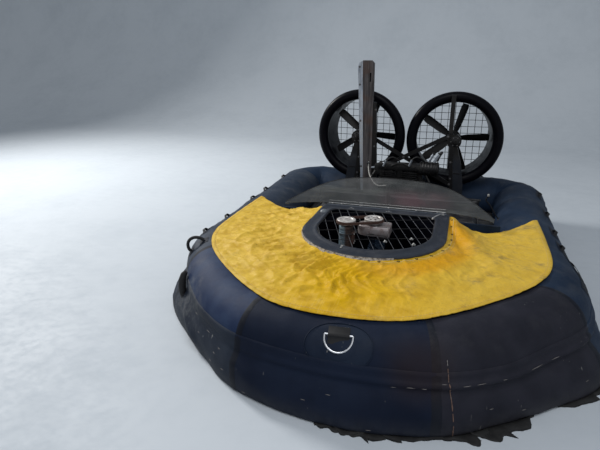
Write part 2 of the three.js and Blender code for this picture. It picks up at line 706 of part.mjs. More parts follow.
function thrustUnits() {
  // Side name, sign, fan start angle
  for (const [side, sign, start] of [['port', 1, 2], ['starboard', -1, -3]]) {
    piece(`thrust_duct_${side}`, 'black_moulding', toed(ductGeometry(), sign));
    piece(`fan_guard_${side}`, 'black_steel', toed(guardGeometry(), sign));
    piece(`thrust_fan_${side}`, 'black_moulding', toed(thrustFan(start), sign));
    piece(`fan_pylon_${side}`, 'black_steel', pylonGeometry(sign));
    piece(`rudder_${side}`, 'black_moulding', toed(rudderGeometry(), sign));
    piece(`duct_saddle_${side}`, 'black_moulding', saddleGeometry(sign));
  }
  piece('duct_brace_rising_starboard', 'black_steel', braceGeometry(1, PYLON_Y - GAP - 10));
  piece('duct_brace_rising_port', 'black_steel', braceGeometry(-1, PYLON_Y - 2 * GAP - 20));
}

function engine() {
  piece('thrust_engine', 'cast_alloy', block(-170, 180, 690, 850, FLOOR_TOP + GAP, 500));
}

// Post in front of the starboard duct: a tapered board with a metal edge strip and a steel channel
const POST_FOOT = [-268, -214];
const POST_HEAD = [-312, -234];

function post() {
  const low = FLOOR_TOP + GAP;
  const [headLeft, headRight] = POST_HEAD;
  const [footLeft, footRight] = POST_FOOT;
  const timber = standing([
    [footLeft, low],
    [footRight, low],
    [headRight, POST_TOP - 18],
    [headRight - 18, POST_TOP],
    [headLeft, POST_TOP],
  ], 805, 845);
  piece('post_timber', 'timber', cut(timber, block(-260, -249, 780, 870, 1070, 1130)));
  piece('post_strip', 'aluminium', standing([
    [footLeft - 15, low],
    [footLeft - 2 * GAP, low],
    [headLeft - 2 * GAP, POST_TOP - 4],
    [headLeft - 24, POST_TOP - 14],
    [headLeft - 32, POST_TOP - 40],
  ], 802, 848));
  piece('post_channel', 'black_steel', standing([
    [footRight + 2 * GAP, low],
    [-178, low],
    [-184, 448],
    [-206, 930],
    [-227, 930],
  ], 808, 842));
}

// Tow ring on the bow
function towing() {
  const step = (2 * Math.PI) / TUBE_FACES;
  const low = new THREE.Vector2(TUBE_RX * Math.cos(step), TUBE_RZ * Math.sin(step));
  const high = new THREE.Vector2(TUBE_RX * Math.cos(2 * step), TUBE_RZ * Math.sin(2 * step));
  const tilt = Math.atan2(high.x - low.x, high.y - low.y);
  const mid = low.clone().add(high).multiplyScalar(0.5);
  const yaw = Math.atan2(PLAN[0][1] - BOW_Y, PLAN[0][0]);
  const seat = (geometry) => geometry
    .rotateX(tilt)
    .rotateZ(yaw)
    .translate(TOW_X, BOW_Y + TOW_X * Math.tan(yaw) + TUBE_RX - mid.x, TUBE_Z + mid.y);
  piece('tow_patch', 'hull_navy', seat(block(-55, 55, -3.5, -0.5, -28, 28)));
  const bar = rod([-TOW_R, -9, 22], [TOW_R, -9, 22], 5, 12);
  const arch = bent([0, 1, 2, 3, 4, 5, 6, 7, 8].map((k) => {
    const a = (Math.PI * k) / 8;
    return [TOW_R * Math.cos(a), -9, 22 - TOW_R * Math.sin(a)];
  }), 4.6, 14);
  piece('tow_ring', 'steel_bright', seat(join(bar, arch)));
}

hull();
floorPanel();
bowDeck();
collar();
liftDuct();
liftGuard();
liftDrive();
windscreen();
bulkhead();
cockpit();
throttleCable();
thrustUnits();
engine();
post();
towing();

export default craft;
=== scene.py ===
# %% [markdown]
# This lesson dresses a small two-seat inflatable hovercraft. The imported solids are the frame: they
# fix every size and every joint. Blender adds what the eye reads, which is cloth, wear and trim.
# The bow points along -Y, port is +X, and the skirt stands on z = 0. All lengths are in metres.

# %% Load the frame
from math import atan2, ceil, cos, exp, hypot, pi, radians, sin, sqrt

import bmesh
import bpy
import numpy as np
from mathutils import Matrix, Vector, noise
from mathutils.kdtree import KDTree


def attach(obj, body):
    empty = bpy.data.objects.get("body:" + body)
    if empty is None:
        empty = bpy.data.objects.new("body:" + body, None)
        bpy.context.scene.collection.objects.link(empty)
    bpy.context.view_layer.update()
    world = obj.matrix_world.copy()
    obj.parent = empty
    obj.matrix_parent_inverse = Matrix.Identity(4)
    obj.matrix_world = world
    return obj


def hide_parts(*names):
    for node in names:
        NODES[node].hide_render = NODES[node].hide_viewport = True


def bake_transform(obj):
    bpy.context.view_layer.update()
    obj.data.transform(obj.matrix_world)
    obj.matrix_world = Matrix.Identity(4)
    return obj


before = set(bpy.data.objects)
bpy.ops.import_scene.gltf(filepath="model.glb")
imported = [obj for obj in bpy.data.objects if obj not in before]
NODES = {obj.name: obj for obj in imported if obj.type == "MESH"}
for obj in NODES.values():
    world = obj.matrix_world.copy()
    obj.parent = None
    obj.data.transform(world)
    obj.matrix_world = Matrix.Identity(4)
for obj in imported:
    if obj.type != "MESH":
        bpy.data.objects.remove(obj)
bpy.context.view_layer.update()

SCENE = bpy.context.scene

# %% [markdown]
# A craft is set out from points, places, turns and circles. These one-line helpers name them, so
# that the later cells read as the steps of a build and not as brackets.

# %% Short helpers
SIDES = (("port", 1), ("starboard", -1))
UP = (0, 0, 1)
TO_BOW = (0, -1, 0)


def vec(*numbers):
    return Vector(numbers)


def shift(x, y, z):
    return Matrix.Translation((x, y, z))


def spin(angle, axis="Z"):
    return Matrix.Rotation(angle, 4, axis)


def clamp(x):
    return min(1.0, max(0.0, x))


def waver(x, y, z):
    """Smooth noise at a place, from -1 to 1."""
    return noise.noise(Vector((x, y, z)))


def angles(count):
    """A full turn in equal steps."""
    return [2 * pi * k / count for k in range(count)]


def circle(radius, count, x=0.0, y=0.0):
    return [(x + radius * cos(a), y + radius * sin(a)) for a in angles(count)]


print("a circle of four", [tuple(round(c, 3) for c in p) for p in circle(1.0, 4)])

# %% [markdown]
# The camera comes first, because each later step is judged from it. It was fitted to the hull, the
# deck and the two duct rings: eye height 1.30 m, looking 19 degrees down and 17 degrees off the
# craft's axis. A long lens would flatten the bow, so the fitted focal length is kept.

# %% Camera
LENS_PIXELS = 513.7
FRAME_WIDTH = 600
camera = bpy.data.objects.new("camera", bpy.data.cameras.new("camera"))
camera.location = (0.392, -2.886, 1.3)
camera.rotation_euler = (radians(90 - 19.12), 0, radians(17.46))
camera.data.sensor_width = 36
camera.data.lens = camera.data.sensor_width * LENS_PIXELS / FRAME_WIDTH
SCENE.collection.objects.link(camera)
SCENE.camera = camera
print("lens", round(camera.data.lens, 2), "mm")

# %% [markdown]
# The floor is one pale sheet of ground. Light could come from a sky picture, but plain area lamps
# are easier to steer. One low on the starboard side rakes across the deck and draws its folds, a
# broad one hangs overhead, a weak one lights the bow, and a grey world fills the shadows. The
# standard view keeps the yellow pure, where a film-like one would wash it out.

# %% Floor and light
def lamp(name, place, target, size, power, colour):
    light = bpy.data.lights.new(name, "AREA")
    light.shape = "DISK"
    light.size = size
    light.energy = power
    light.color = colour
    made = bpy.data.objects.new(name, light)
    made.location = place
    aim = Vector(target) - Vector(place)
    made.rotation_euler = aim.to_track_quat("-Z", "Y").to_euler()
    SCENE.collection.objects.link(made)
    return made


lamp("key_lamp", (-5.2, 1.6, 3.5), (0, -0.4, 0.2), 1.2, 300, (1.0, 0.98, 0.95))
lamp("top_lamp", (0.3, -2.8, 5.0), (0, -0.3, 0.2), 3.4, 95, (0.97, 0.98, 1.0))
lamp("bow_lamp", (2.2, -4.4, 2.4), (0.2, -0.6, 0.3), 2.6, 12, (0.95, 0.97, 1.0))
world = bpy.data.worlds.new("hall")
world.use_nodes = True
world.node_tree.nodes["Background"].inputs["Color"].default_value = (0.86, 0.9, 0.95, 1)
world.node_tree.nodes["Background"].inputs["Strength"].default_value = 0.42
SCENE.world = world
SCENE.view_settings.view_transform = "Standard"

# %% [markdown]
# Materials are written as arithmetic. One class wraps a socket so that plus, minus and times add
# Math nodes, and another holds a material and makes any other node. The same few ideas come back
# in each finish: broad changes of tone, fine weave or grain, dust that lies low, scuffs on edges.

# %% Shader arithmetic
class Value:
    """One output socket of a node tree."""

    def __init__(self, finish, socket):
        self.finish = finish
        self.socket = socket

    def math(self, operation, first, second):
        return self.finish.node("ShaderNodeMath", {"operation": operation}, {0: first, 1: second})

    def __add__(self, other):
        return self.math("ADD", self, other)

    def __sub__(self, other):
        return self.math("SUBTRACT", self, other)

    def __rsub__(self, other):
        return self.math("SUBTRACT", other, self)

    def __mul__(self, other):
        return self.math("MULTIPLY", self, other)

    __radd__ = __add__
    __rmul__ = __mul__


class Finish:
    """A material, built node by node."""

    def __init__(self, name):
        self.material = bpy.data.materials.new(name)
        self.material.use_nodes = True
        self.tree = self.material.node_tree
        self.shader = self.tree.nodes["Principled BSDF"]
        self.place = self.node("ShaderNodeTexCoord", {}, {}, "Object")

    def node(self, kind, settings, sockets, output=0):
        made = self.tree.nodes.new(kind)
        for key, value in settings.items():
            setattr(made, key, value)
        self.feed(made, sockets)
        return Value(self, made.outputs[output])

    def feed(self, node, sockets):
        for key, value in sockets.items():
            if isinstance(value, Value):
                self.tree.links.new(value.socket, node.inputs[key])
            else:
                node.inputs[key].default_value = value

    def noise(self, scale, detail=3.0, rough=0.55, where=None):
        sockets = {"Vector": where or self.place, "Scale": scale, "Detail": detail, "Roughness": rough}
        return self.node("ShaderNodeTexNoise", {}, sockets, "Fac")

    def grain(self, stretch, detail, rough, scale=1.0):
        """Noise drawn out by a scale along each axis, for grain and streaks."""
        where = self.node("ShaderNodeMapping", {}, {"Vector": self.place, "Scale": stretch})
        return self.noise(scale, detail, rough, where)

    def threads(self, direction, scale, distortion):
        sockets = {"Vector": self.place, "Scale": scale, "Distortion": distortion}
        return self.node("ShaderNodeTexWave", {"bands_direction": direction}, sockets)

    def step(self, value, low, high):
        """0 below low, 1 above high, smooth between."""
        ends = {"Value": value, "From Min": low, "From Max": high}
        return self.node("ShaderNodeMapRange", {"interpolation_type": "SMOOTHSTEP"}, ends)

    def blots(self, low, high, scale, detail=3.0, rough=0.55):
        """Noise sharpened into blotches between two of its levels."""
        return self.step(self.noise(scale, detail, rough), low, high)

    def distance(self, point):
        ends = {0: self.place, 1: point}
        return self.node("ShaderNodeVectorMath", {"operation": "DISTANCE"}, ends, "Value")

    def near(self, point, inner, outer):
        """1 within the inner distance of a point, 0 beyond the outer one."""
        return 1 - self.step(self.distance(point), inner, outer)

    def mix(self, share, first, second):
        """Two colours mixed by a share from 0 to 1."""
        pair = {0: share}
        for key, colour in ((6, first), (7, second)):
            pair[key] = colour if isinstance(colour, Value) else (*colour, 1)
        return self.node("ShaderNodeMix", {"data_type": "RGBA"}, pair, 2)

    def axis(self, name, where=None):
        return self.node("ShaderNodeSeparateXYZ", {}, {"Vector": where or self.place}, name)

    def upward(self):
        """How far the surface looks up, from -1 to 1."""
        return self.axis("Z", self.node("ShaderNodeNewGeometry", {}, {}, "Normal"))

    def bump(self, height, strength, distance):
        sockets = {"Height": height, "Strength": strength, "Distance": distance}
        return self.node("ShaderNodeBump", {}, sockets)

    def done(self, colour, roughness, metallic=0.0, **more):
        if not isinstance(colour, Value):
            colour = (*colour, 1)
        sockets = {"Base Color": colour, "Roughness": roughness, "Metallic": metallic}
        self.feed(self.shader, sockets | {key.replace("_", " "): value for key, value in more.items()})
        return self.material


print("a finish can use noise, grain, threads and blots")

# %% [markdown]
# The hull is rubber-coated cloth. Up close it shows a fine weave under the coating. From further off it
# shows handling: paler worn patches on what sticks out, grey dust on what faces up, and short pale scuffs.
# On the starboard side tube that grey on what faces up is raised, as a painted sheen. Each panel has faded
# differently, and the starboard corner is also painted lighter for the light that falls on it, so the recipe
# takes the panel's own colour.

# %% Coated cloth
# two places on the hull: where the port bow seam has rubbed, and where the starboard corner scraped
RUBBED = (0.33, -1.31, 0.24)
SCRAPED = (-0.8, -1.0, 0.11)
RUBBED_TONE = (0.024, 0.0145, 0.0135)
# the grey of dust, of scraped places, and of the sheen painted on what faces up
DUST_AND_SHEEN_GREY = (0.2, 0.2, 0.19)
SCUFF_TONE = (0.34, 0.33, 0.31)


def coated_cloth(name, deep, worn, dust_and_sheen=0.1, roughness=0.58, scuffs=0.4):
    """Cloth that goes from a deep to a worn colour, with dust and a painted sheen on what faces up, rubbed
    places and scuffs.
    """
    f = Finish(name)
    broad = f.noise(2.3, 4.0)
    cloudy = f.noise(9.0, 5.0, 0.6)
    weave = f.threads("X", 260.0, 0.4)
    cross = f.threads("Z", 260.0, 0.4)
    colour = f.mix(f.step(broad * 0.6 + cloudy * 0.4, 0.4, 0.66), deep, worn)
    colour = f.mix(f.near(RUBBED, 0.03, 0.17) * 0.55, colour, RUBBED_TONE)
    # what faces up turns grey: dust, and on the starboard side tube a painted sheen as well
    top_dust_and_sheen = f.step(f.upward(), 0.2, 1.0) * f.blots(0.44, 0.74, 11.0, 6.0, 0.7)
    low = 1 - f.step(f.axis("Z"), 0.0, 0.09)
    scraped = f.near(SCRAPED, 0.1, 0.34) * f.blots(0.46, 0.68, 14.0, 7.0, 0.72) * 0.36
    grey = top_dust_and_sheen * dust_and_sheen + low * f.noise(30.0, 4.0) * 0.16 + scraped
    colour = f.mix(grey, colour, DUST_AND_SHEEN_GREY)
    streaks = f.step(f.grain((95.0, 95.0, 22.0), 3.0, 0.5), 0.7, 0.76)
    colour = f.mix(streaks * f.blots(0.52, 0.62, 5.0, 2.0) * scuffs, colour, SCUFF_TONE)
    height = weave * 0.25 + cross * 0.25 + f.noise(70.0, 4.0) * 1.2
    return f.done(colour, cloudy * 0.25 + (roughness - 0.12), Normal=f.bump(height, 0.35, 0.0012),
                  Specular_IOR_Level=0.11)


# painted light: the starboard corner's navy is lighter than the rest for the light that falls on it from the
# starboard side
LIT_NAVY = coated_cloth("navy_cloth", (0.01, 0.021, 0.058), (0.026, 0.045, 0.094), dust_and_sheen=0.08)
# painted sheen: the starboard side tube's raised grey on what faces up stands for light reflected off its
# top
DUST_AND_SHEEN_NAVY = coated_cloth("dust_and_sheen_navy_cloth", (0.018, 0.028, 0.048), (0.042, 0.054, 0.076), dust_and_sheen=0.22)
NAVY_SKIRT = coated_cloth("navy_skirt_cloth", (0.01, 0.015, 0.027), (0.024, 0.032, 0.048), dust_and_sheen=0.06,
                          scuffs=1.0)
BOW_NAVY = coated_cloth("bow_navy_cloth", (0.0046, 0.0086, 0.0215), (0.008, 0.0138, 0.031), dust_and_sheen=0.02)
PATCH = coated_cloth("patch_cloth", (0.0062, 0.0115, 0.026), (0.012, 0.0195, 0.037), dust_and_sheen=0.04)
CHARCOAL = coated_cloth("charcoal_cloth", (0.0135, 0.0142, 0.0215), (0.023, 0.0235, 0.0335), dust_and_sheen=0.04)
REAR_NAVY = coated_cloth("rear_navy_cloth", (0.008, 0.0175, 0.038), (0.017, 0.032, 0.062))
TAPE = coated_cloth("seam_tape", (0.0055, 0.0075, 0.014), (0.012, 0.014, 0.021), scuffs=0.9)
RAGGED = coated_cloth("ragged_cloth", (0.0035, 0.0038, 0.005), (0.0085, 0.0085, 0.01), dust_and_sheen=0.03,
                      scuffs=0.1)
print("cloths", [m.name for m in (LIT_NAVY, BOW_NAVY, CHARCOAL, REAR_NAVY, TAPE, RAGGED)])

# %% [markdown]
# The deck is the one bright cloth: golden yellow, faded towards lemon on the starboard side and dull orange
# to port, with grey smudges and fine streaks near its front edge. Painted shade darkens its folds and the
# valley by the collar. The tone follows the place on the craft, so the same recipe also serves the hems that
# are sewn to it.

# %% Deck cloth
# lemon, gold, orange, and the painted shade in the valley round the collar
DECK_TONES = [(0.66, 0.44, 0.06), (0.62, 0.365, 0.003), (0.62, 0.41, 0.05), (0.6, 0.285, 0.006)]
OPENING_MIDDLE = (0.0, -0.36, 0.38)


def deck_cloth(name, tint, grime):
    """A yellow whose brightness is scaled by tint, and its smudges and specks by grime."""
    f = Finish(name)
    across = f.step(f.axis("X"), -0.75, 0.75)
    lemon, gold, orange, deep = ([tint * c for c in tone] for tone in DECK_TONES)
    colour = f.mix(f.step(across, 0.05, 0.52), lemon, gold)
    colour = f.mix(f.step(across, 0.55, 0.95), colour, orange)
    # painted shade: a darker orange ring round the collar on its port side, in the valley between the deck's
    # fold and the collar
    reach = f.distance(OPENING_MIDDLE)
    ring = f.step(reach, 0.38, 0.42) * (1 - f.step(reach, 0.46, 0.56)) * f.step(f.axis("X"), -0.1, 0.2)
    colour = f.mix(ring * 0.85, colour, deep)
    patch = f.noise(3.1, 5.0, 0.6)
    colour = f.mix(f.step(patch, 0.46, 0.7) * 0.45, colour, (0.7, 0.45, 0.07))
    front = 1 - f.step(f.axis("Y"), -1.16, -1.0)
    thread = f.grain((160.0, 6.0, 6.0), 2.0, 0.5)
    colour = f.mix(front * f.step(thread, 0.5, 0.66) * 0.35, colour, (0.8, 0.55, 0.12))
    smudge = f.blots(0.53, 0.74, 6.0, 7.0, 0.72)
    to_port = f.step(f.axis("X"), -0.1, 0.8)
    colour = f.mix(smudge * (0.3 + to_port * 0.55) * grime, colour, (0.17, 0.135, 0.085))
    # painted shade in the folds: where this noise, which also raises the folds' bump, is low, the yellow
    # turns darker ochre, most to starboard
    coarse = f.noise(15.0, 6.0, 0.62)
    painted_fold_shade = 1 - f.step(coarse, 0.3, 0.6)
    colour = f.mix(painted_fold_shade * (0.66 - to_port * 0.4), colour, (0.42 * tint, 0.235 * tint, 0.01))
    specks = f.blots(0.68, 0.73, 95.0, 2.0, 0.6)
    colour = f.mix(specks * 0.5 * grime, colour, (0.07, 0.05, 0.03))
    weave = f.threads("DIAGONAL", 230.0, 0.5)
    cells = {"Vector": f.place, "Scale": 17.0, "Detail": 2.0, "Randomness": 1.0}
    facets = f.node("ShaderNodeTexVoronoi", {"feature": "F1"}, cells, "Distance")
    height = weave * 0.3 + f.noise(45.0, 5.0, 0.6) * 1.6 + coarse * 3.5 + facets * 3.5
    rough = smudge * 0.2 + 0.42
    return f.done(colour, rough, Normal=f.bump(height, 0.6, 0.0015), Specular_IOR_Level=0.09)


YELLOW = deck_cloth("yellow_cloth", 1.05, 1.0)
HEM_YELLOW = deck_cloth("yellow_hem", 0.98, 1.2)
print("deck cloths", YELLOW.name, HEM_YELLOW.name)

# %% [markdown]
# Hard finishes share one recipe too: a base colour, a second colour where it is worn or rusty (on the lift
# fan's blades, pale blotches painted as glints), a grain that can run along one axis, and a roughness that
# rises with the dirt. Numbers that don't vary, such as metalness, go straight onto the shader.

# %% Hard finishes
def hard(name, base, worn, roughness, metallic=0.0, amount=(0.52, 0.7), scale=14.0,
         grain=(1, 1, 1), depth=0.0006, dusty=0.12, spread=0.2, **more):
    f = Finish(name)
    blotch = f.grain(grain, 6.0, 0.65, scale)
    fine = f.grain(grain, 3.0, 0.6, scale * 9)
    wear = f.step(blotch * 0.75 + fine * 0.25, *amount)
    colour = f.mix(wear, base, worn)
    settled = f.step(f.upward(), 0.35, 1.0) * f.blots(0.4, 0.75, 22.0, 5.0)
    colour = f.mix(settled * dusty, colour, (0.3, 0.29, 0.27))
    rough = wear * spread + settled * 0.2 + roughness
    return f.done(colour, rough, metallic, Normal=f.bump(blotch + fine * 0.7, 0.5, depth), **more)


COLLAR = hard("collar_rubber", (0.0095, 0.0135, 0.0235), (0.019, 0.025, 0.038), 0.38, dusty=0.05)
MOULDING = hard("black_moulding", (0.0022, 0.0022, 0.0042), (0.004, 0.004, 0.0062), 0.34, dusty=0.006,
                Specular_IOR_Level=0.07)
BLADE = hard("fan_blade", (0.003, 0.003, 0.0036), (0.01, 0.01, 0.011), 0.45, dusty=0.03,
             Specular_IOR_Level=0.3)
DUCT_INSIDE = hard("duct_inside", (0.0016, 0.0018, 0.0032), (0.004, 0.0046, 0.007), 0.75, dusty=0.005,
                   Specular_IOR_Level=0.0)
STEEL = hard("black_steel", (0.004, 0.004, 0.005), (0.02, 0.015, 0.012), 0.45, amount=(0.6, 0.74),
             dusty=0.04, Specular_IOR_Level=0.35)
WIRE = hard("guard_wire", (0.15, 0.16, 0.18), (0.045, 0.038, 0.036), 0.4, 0.7, amount=(0.5, 0.7))
DARK_WIRE = hard("dark_wire", (0.004, 0.004, 0.005), (0.015, 0.013, 0.012), 0.5, 0.1)
BOLT = hard("dull_bolt", (0.105, 0.105, 0.11), (0.035, 0.031, 0.03), 0.42, 0.6, scale=60.0)
CAP = hard("cap_rubber", (0.115, 0.135, 0.155), (0.055, 0.065, 0.08), 0.4, scale=40.0)
# painted glints: the lift fan's blades take pale blue blotches as their second colour, for light they catch
GLOSSY_PAINTED_GLINTS = hard("glossy_blade_painted_glints", (0.01, 0.017, 0.03), (0.055, 0.088, 0.13), 0.24, dusty=0.02,
              Coat_Weight=0.4)
STRIP = hard("bright_strip", (0.44, 0.485, 0.55), (0.155, 0.175, 0.21), 0.34, 0.35, scale=11.0,
             grain=(1, 1, 0.16), depth=0.0012, amount=(0.46, 0.62), dusty=0.0)
BROWN = hard("worn_brown", (0.145, 0.085, 0.062), (0.06, 0.036, 0.03), 0.7, scale=60.0)
ZINC = hard("zinc_plate", (0.52, 0.52, 0.51), (0.22, 0.19, 0.17), 0.34, 0.85, scale=40.0)
ALLOY = hard("weathered_alloy", (0.3, 0.335, 0.38), (0.115, 0.13, 0.155), 0.38, 0.55, scale=9.0,
             grain=(1, 1, 0.18), depth=0.001)
CAST = hard("cast_alloy", (0.3, 0.275, 0.275), (0.15, 0.09, 0.082), 0.44, 0.45, amount=(0.44, 0.66),
            scale=24.0, depth=0.0012)
DISC = hard("pulley_alloy", (0.56, 0.54, 0.52), (0.2, 0.15, 0.125), 0.44, 0.45, amount=(0.47, 0.66),
            scale=46.0)
RUST = hard("rusty_belt", (0.052, 0.023, 0.016), (0.018, 0.012, 0.011), 0.75, scale=30.0, depth=0.0015)
CHROME = hard("polished_steel", (0.72, 0.73, 0.76), (0.38, 0.36, 0.36), 0.14, 1.0, amount=(0.6, 0.8))
ENGINE = hard("engine_black", (0.0055, 0.0055, 0.0065), (0.03, 0.028, 0.027), 0.48, 0.2, scale=26.0,
              dusty=0.05)
WEBBING = hard("black_webbing", (0.0045, 0.0048, 0.006), (0.014, 0.014, 0.016), 0.72, scale=60.0,
               depth=0.0015, dusty=0.04)
VINYL = hard("seat_vinyl", (0.007, 0.0075, 0.01), (0.021, 0.022, 0.026), 0.42, scale=20.0,
             depth=0.001)
BOARD = hard("painted_board", (0.018, 0.02, 0.024), (0.052, 0.05, 0.046), 0.6, scale=8.0,
             grain=(1, 0.25, 1), dusty=0.2)
PALE = hard("pale_sheath", (0.34, 0.335, 0.32), (0.2, 0.19, 0.17), 0.42, scale=30.0)
THREAD = hard("pale_thread", (0.6, 0.46, 0.22), (0.42, 0.3, 0.12), 0.6, scale=60.0)
BRASS = hard("dark_eyelet", (0.04, 0.03, 0.018), (0.01, 0.008, 0.007), 0.45, 0.7, scale=60.0)
GLUE = hard("dried_glue", (0.38, 0.345, 0.29), (0.07, 0.05, 0.032), 0.66, scale=62.0, depth=0.002,
            amount=(0.42, 0.62))
SCUFF = hard("pale_scuff", (0.21, 0.195, 0.185), (0.08, 0.074, 0.074), 0.7, scale=80.0)
FLOOR = hard("pale_floor", (0.52, 0.565, 0.61), (0.47, 0.515, 0.56), 0.55, scale=1.2, dusty=0.0,
             depth=0.0002, amount=(0.4, 0.72), Specular_IOR_Level=0.2)
print("finishes", len(bpy.data.materials))

# %% [markdown]
# Four finishes need their own recipe. The post is a weathered board whose grain runs up it. The
# windscreen is smoky plastic: dull with dust, a little clearer in the middle. The motor shows rust
# on one side only, and the pylons are grey below and black above, so their colour follows the place.

# %% Timber, screen and motor
def weathered_timber():
    f = Finish("weathered_timber")
    rings = f.grain((46.0, 46.0, 2.6), 5.0, 0.6)
    fine = f.grain((190.0, 190.0, 7.0), 4.0, 0.6)
    colour = f.mix(f.step(rings, 0.36, 0.66), (0.02, 0.017, 0.019), (0.088, 0.078, 0.08))
    colour = f.mix(f.step(fine, 0.52, 0.72) * 0.6, colour, (0.175, 0.165, 0.16))
    stain = f.blots(0.5, 0.68, 5.5, 4.0)
    colour = f.mix(stain * 0.6, colour, (0.07, 0.032, 0.018))
    return f.done(colour, 0.72, Normal=f.bump(rings + fine * 0.8, 0.6, 0.0015))


def smoky_sheet():
    f = Finish("smoky_screen")
    haze = f.blots(0.4, 0.7, 4.0, 6.0, 0.65)
    wipe = f.grain((4.0, 26.0, 18.0), 4.0, 0.6)
    x, z = f.axis("X"), f.axis("Z")
    middle = f.step(x, -0.12, 0.18) * (1 - f.step(x, 0.22, 0.42))
    band = f.step(z, 0.398, 0.424) * (1 - f.step(z, 0.444, 0.5))
    pink = middle * band * (f.blots(0.38, 0.56, 7.0) * 0.6 + 0.4)
    colour = f.mix(haze * 0.7, (0.07, 0.076, 0.078), (0.135, 0.132, 0.134))
    colour = f.mix(pink * 0.75, colour, (0.205, 0.115, 0.132))
    streaks = f.step(wipe, 0.5, 0.72)
    colour = f.mix(streaks * 0.35, colour, (0.17, 0.185, 0.175))
    opacity = haze * 0.12 + streaks * 0.1 + 0.36 - middle * 0.06
    return f.done(colour, haze * 0.16 + 0.36, Alpha=opacity, Specular_IOR_Level=0.35)


def motor_can():
    f = Finish("motor_can")
    side = f.step(f.axis("X"), -0.14, -0.122)
    rust = f.blots(0.4, 0.62, 34.0, 6.0, 0.7)
    colour = f.mix(rust * 0.35, (0.24, 0.33, 0.39), (0.12, 0.12, 0.12))
    colour = f.mix(side, colour, f.mix(rust, (0.028, 0.019, 0.017), (0.07, 0.038, 0.028)))
    return f.done(colour, side * 0.25 + 0.36, 0.5 - side * 0.4, Normal=f.bump(rust, 0.4, 0.001))


def pylon_paint():
    f = Finish("pylon_paint")
    wear = f.blots(0.46, 0.7, 14.0, 6.0, 0.65)
    lower = f.mix(wear, (0.015, 0.0185, 0.026), (0.036, 0.04, 0.047))
    upper = f.mix(wear, (0.0035, 0.0035, 0.0045), (0.012, 0.011, 0.011))
    colour = f.mix(f.step(f.axis("Z"), 0.5, 0.6), lower, upper)
    return f.done(colour, wear * 0.2 + 0.42, 0.2, Normal=f.bump(wear, 0.3, 0.0006))


LEG = pylon_paint()
TIMBER = weathered_timber()
SMOKY = smoky_sheet()
MOTOR = motor_can()
print("finishes", len(bpy.data.materials))

# %% [markdown]
# Pieces are made from arrays of points. A small mould gathers grids, bent bars, turned profiles
# and rounded blocks, each with a finish, and one call turns it into a piece that rides on a body.
# This keeps joined small parts, such as forty bolts, in one mesh.

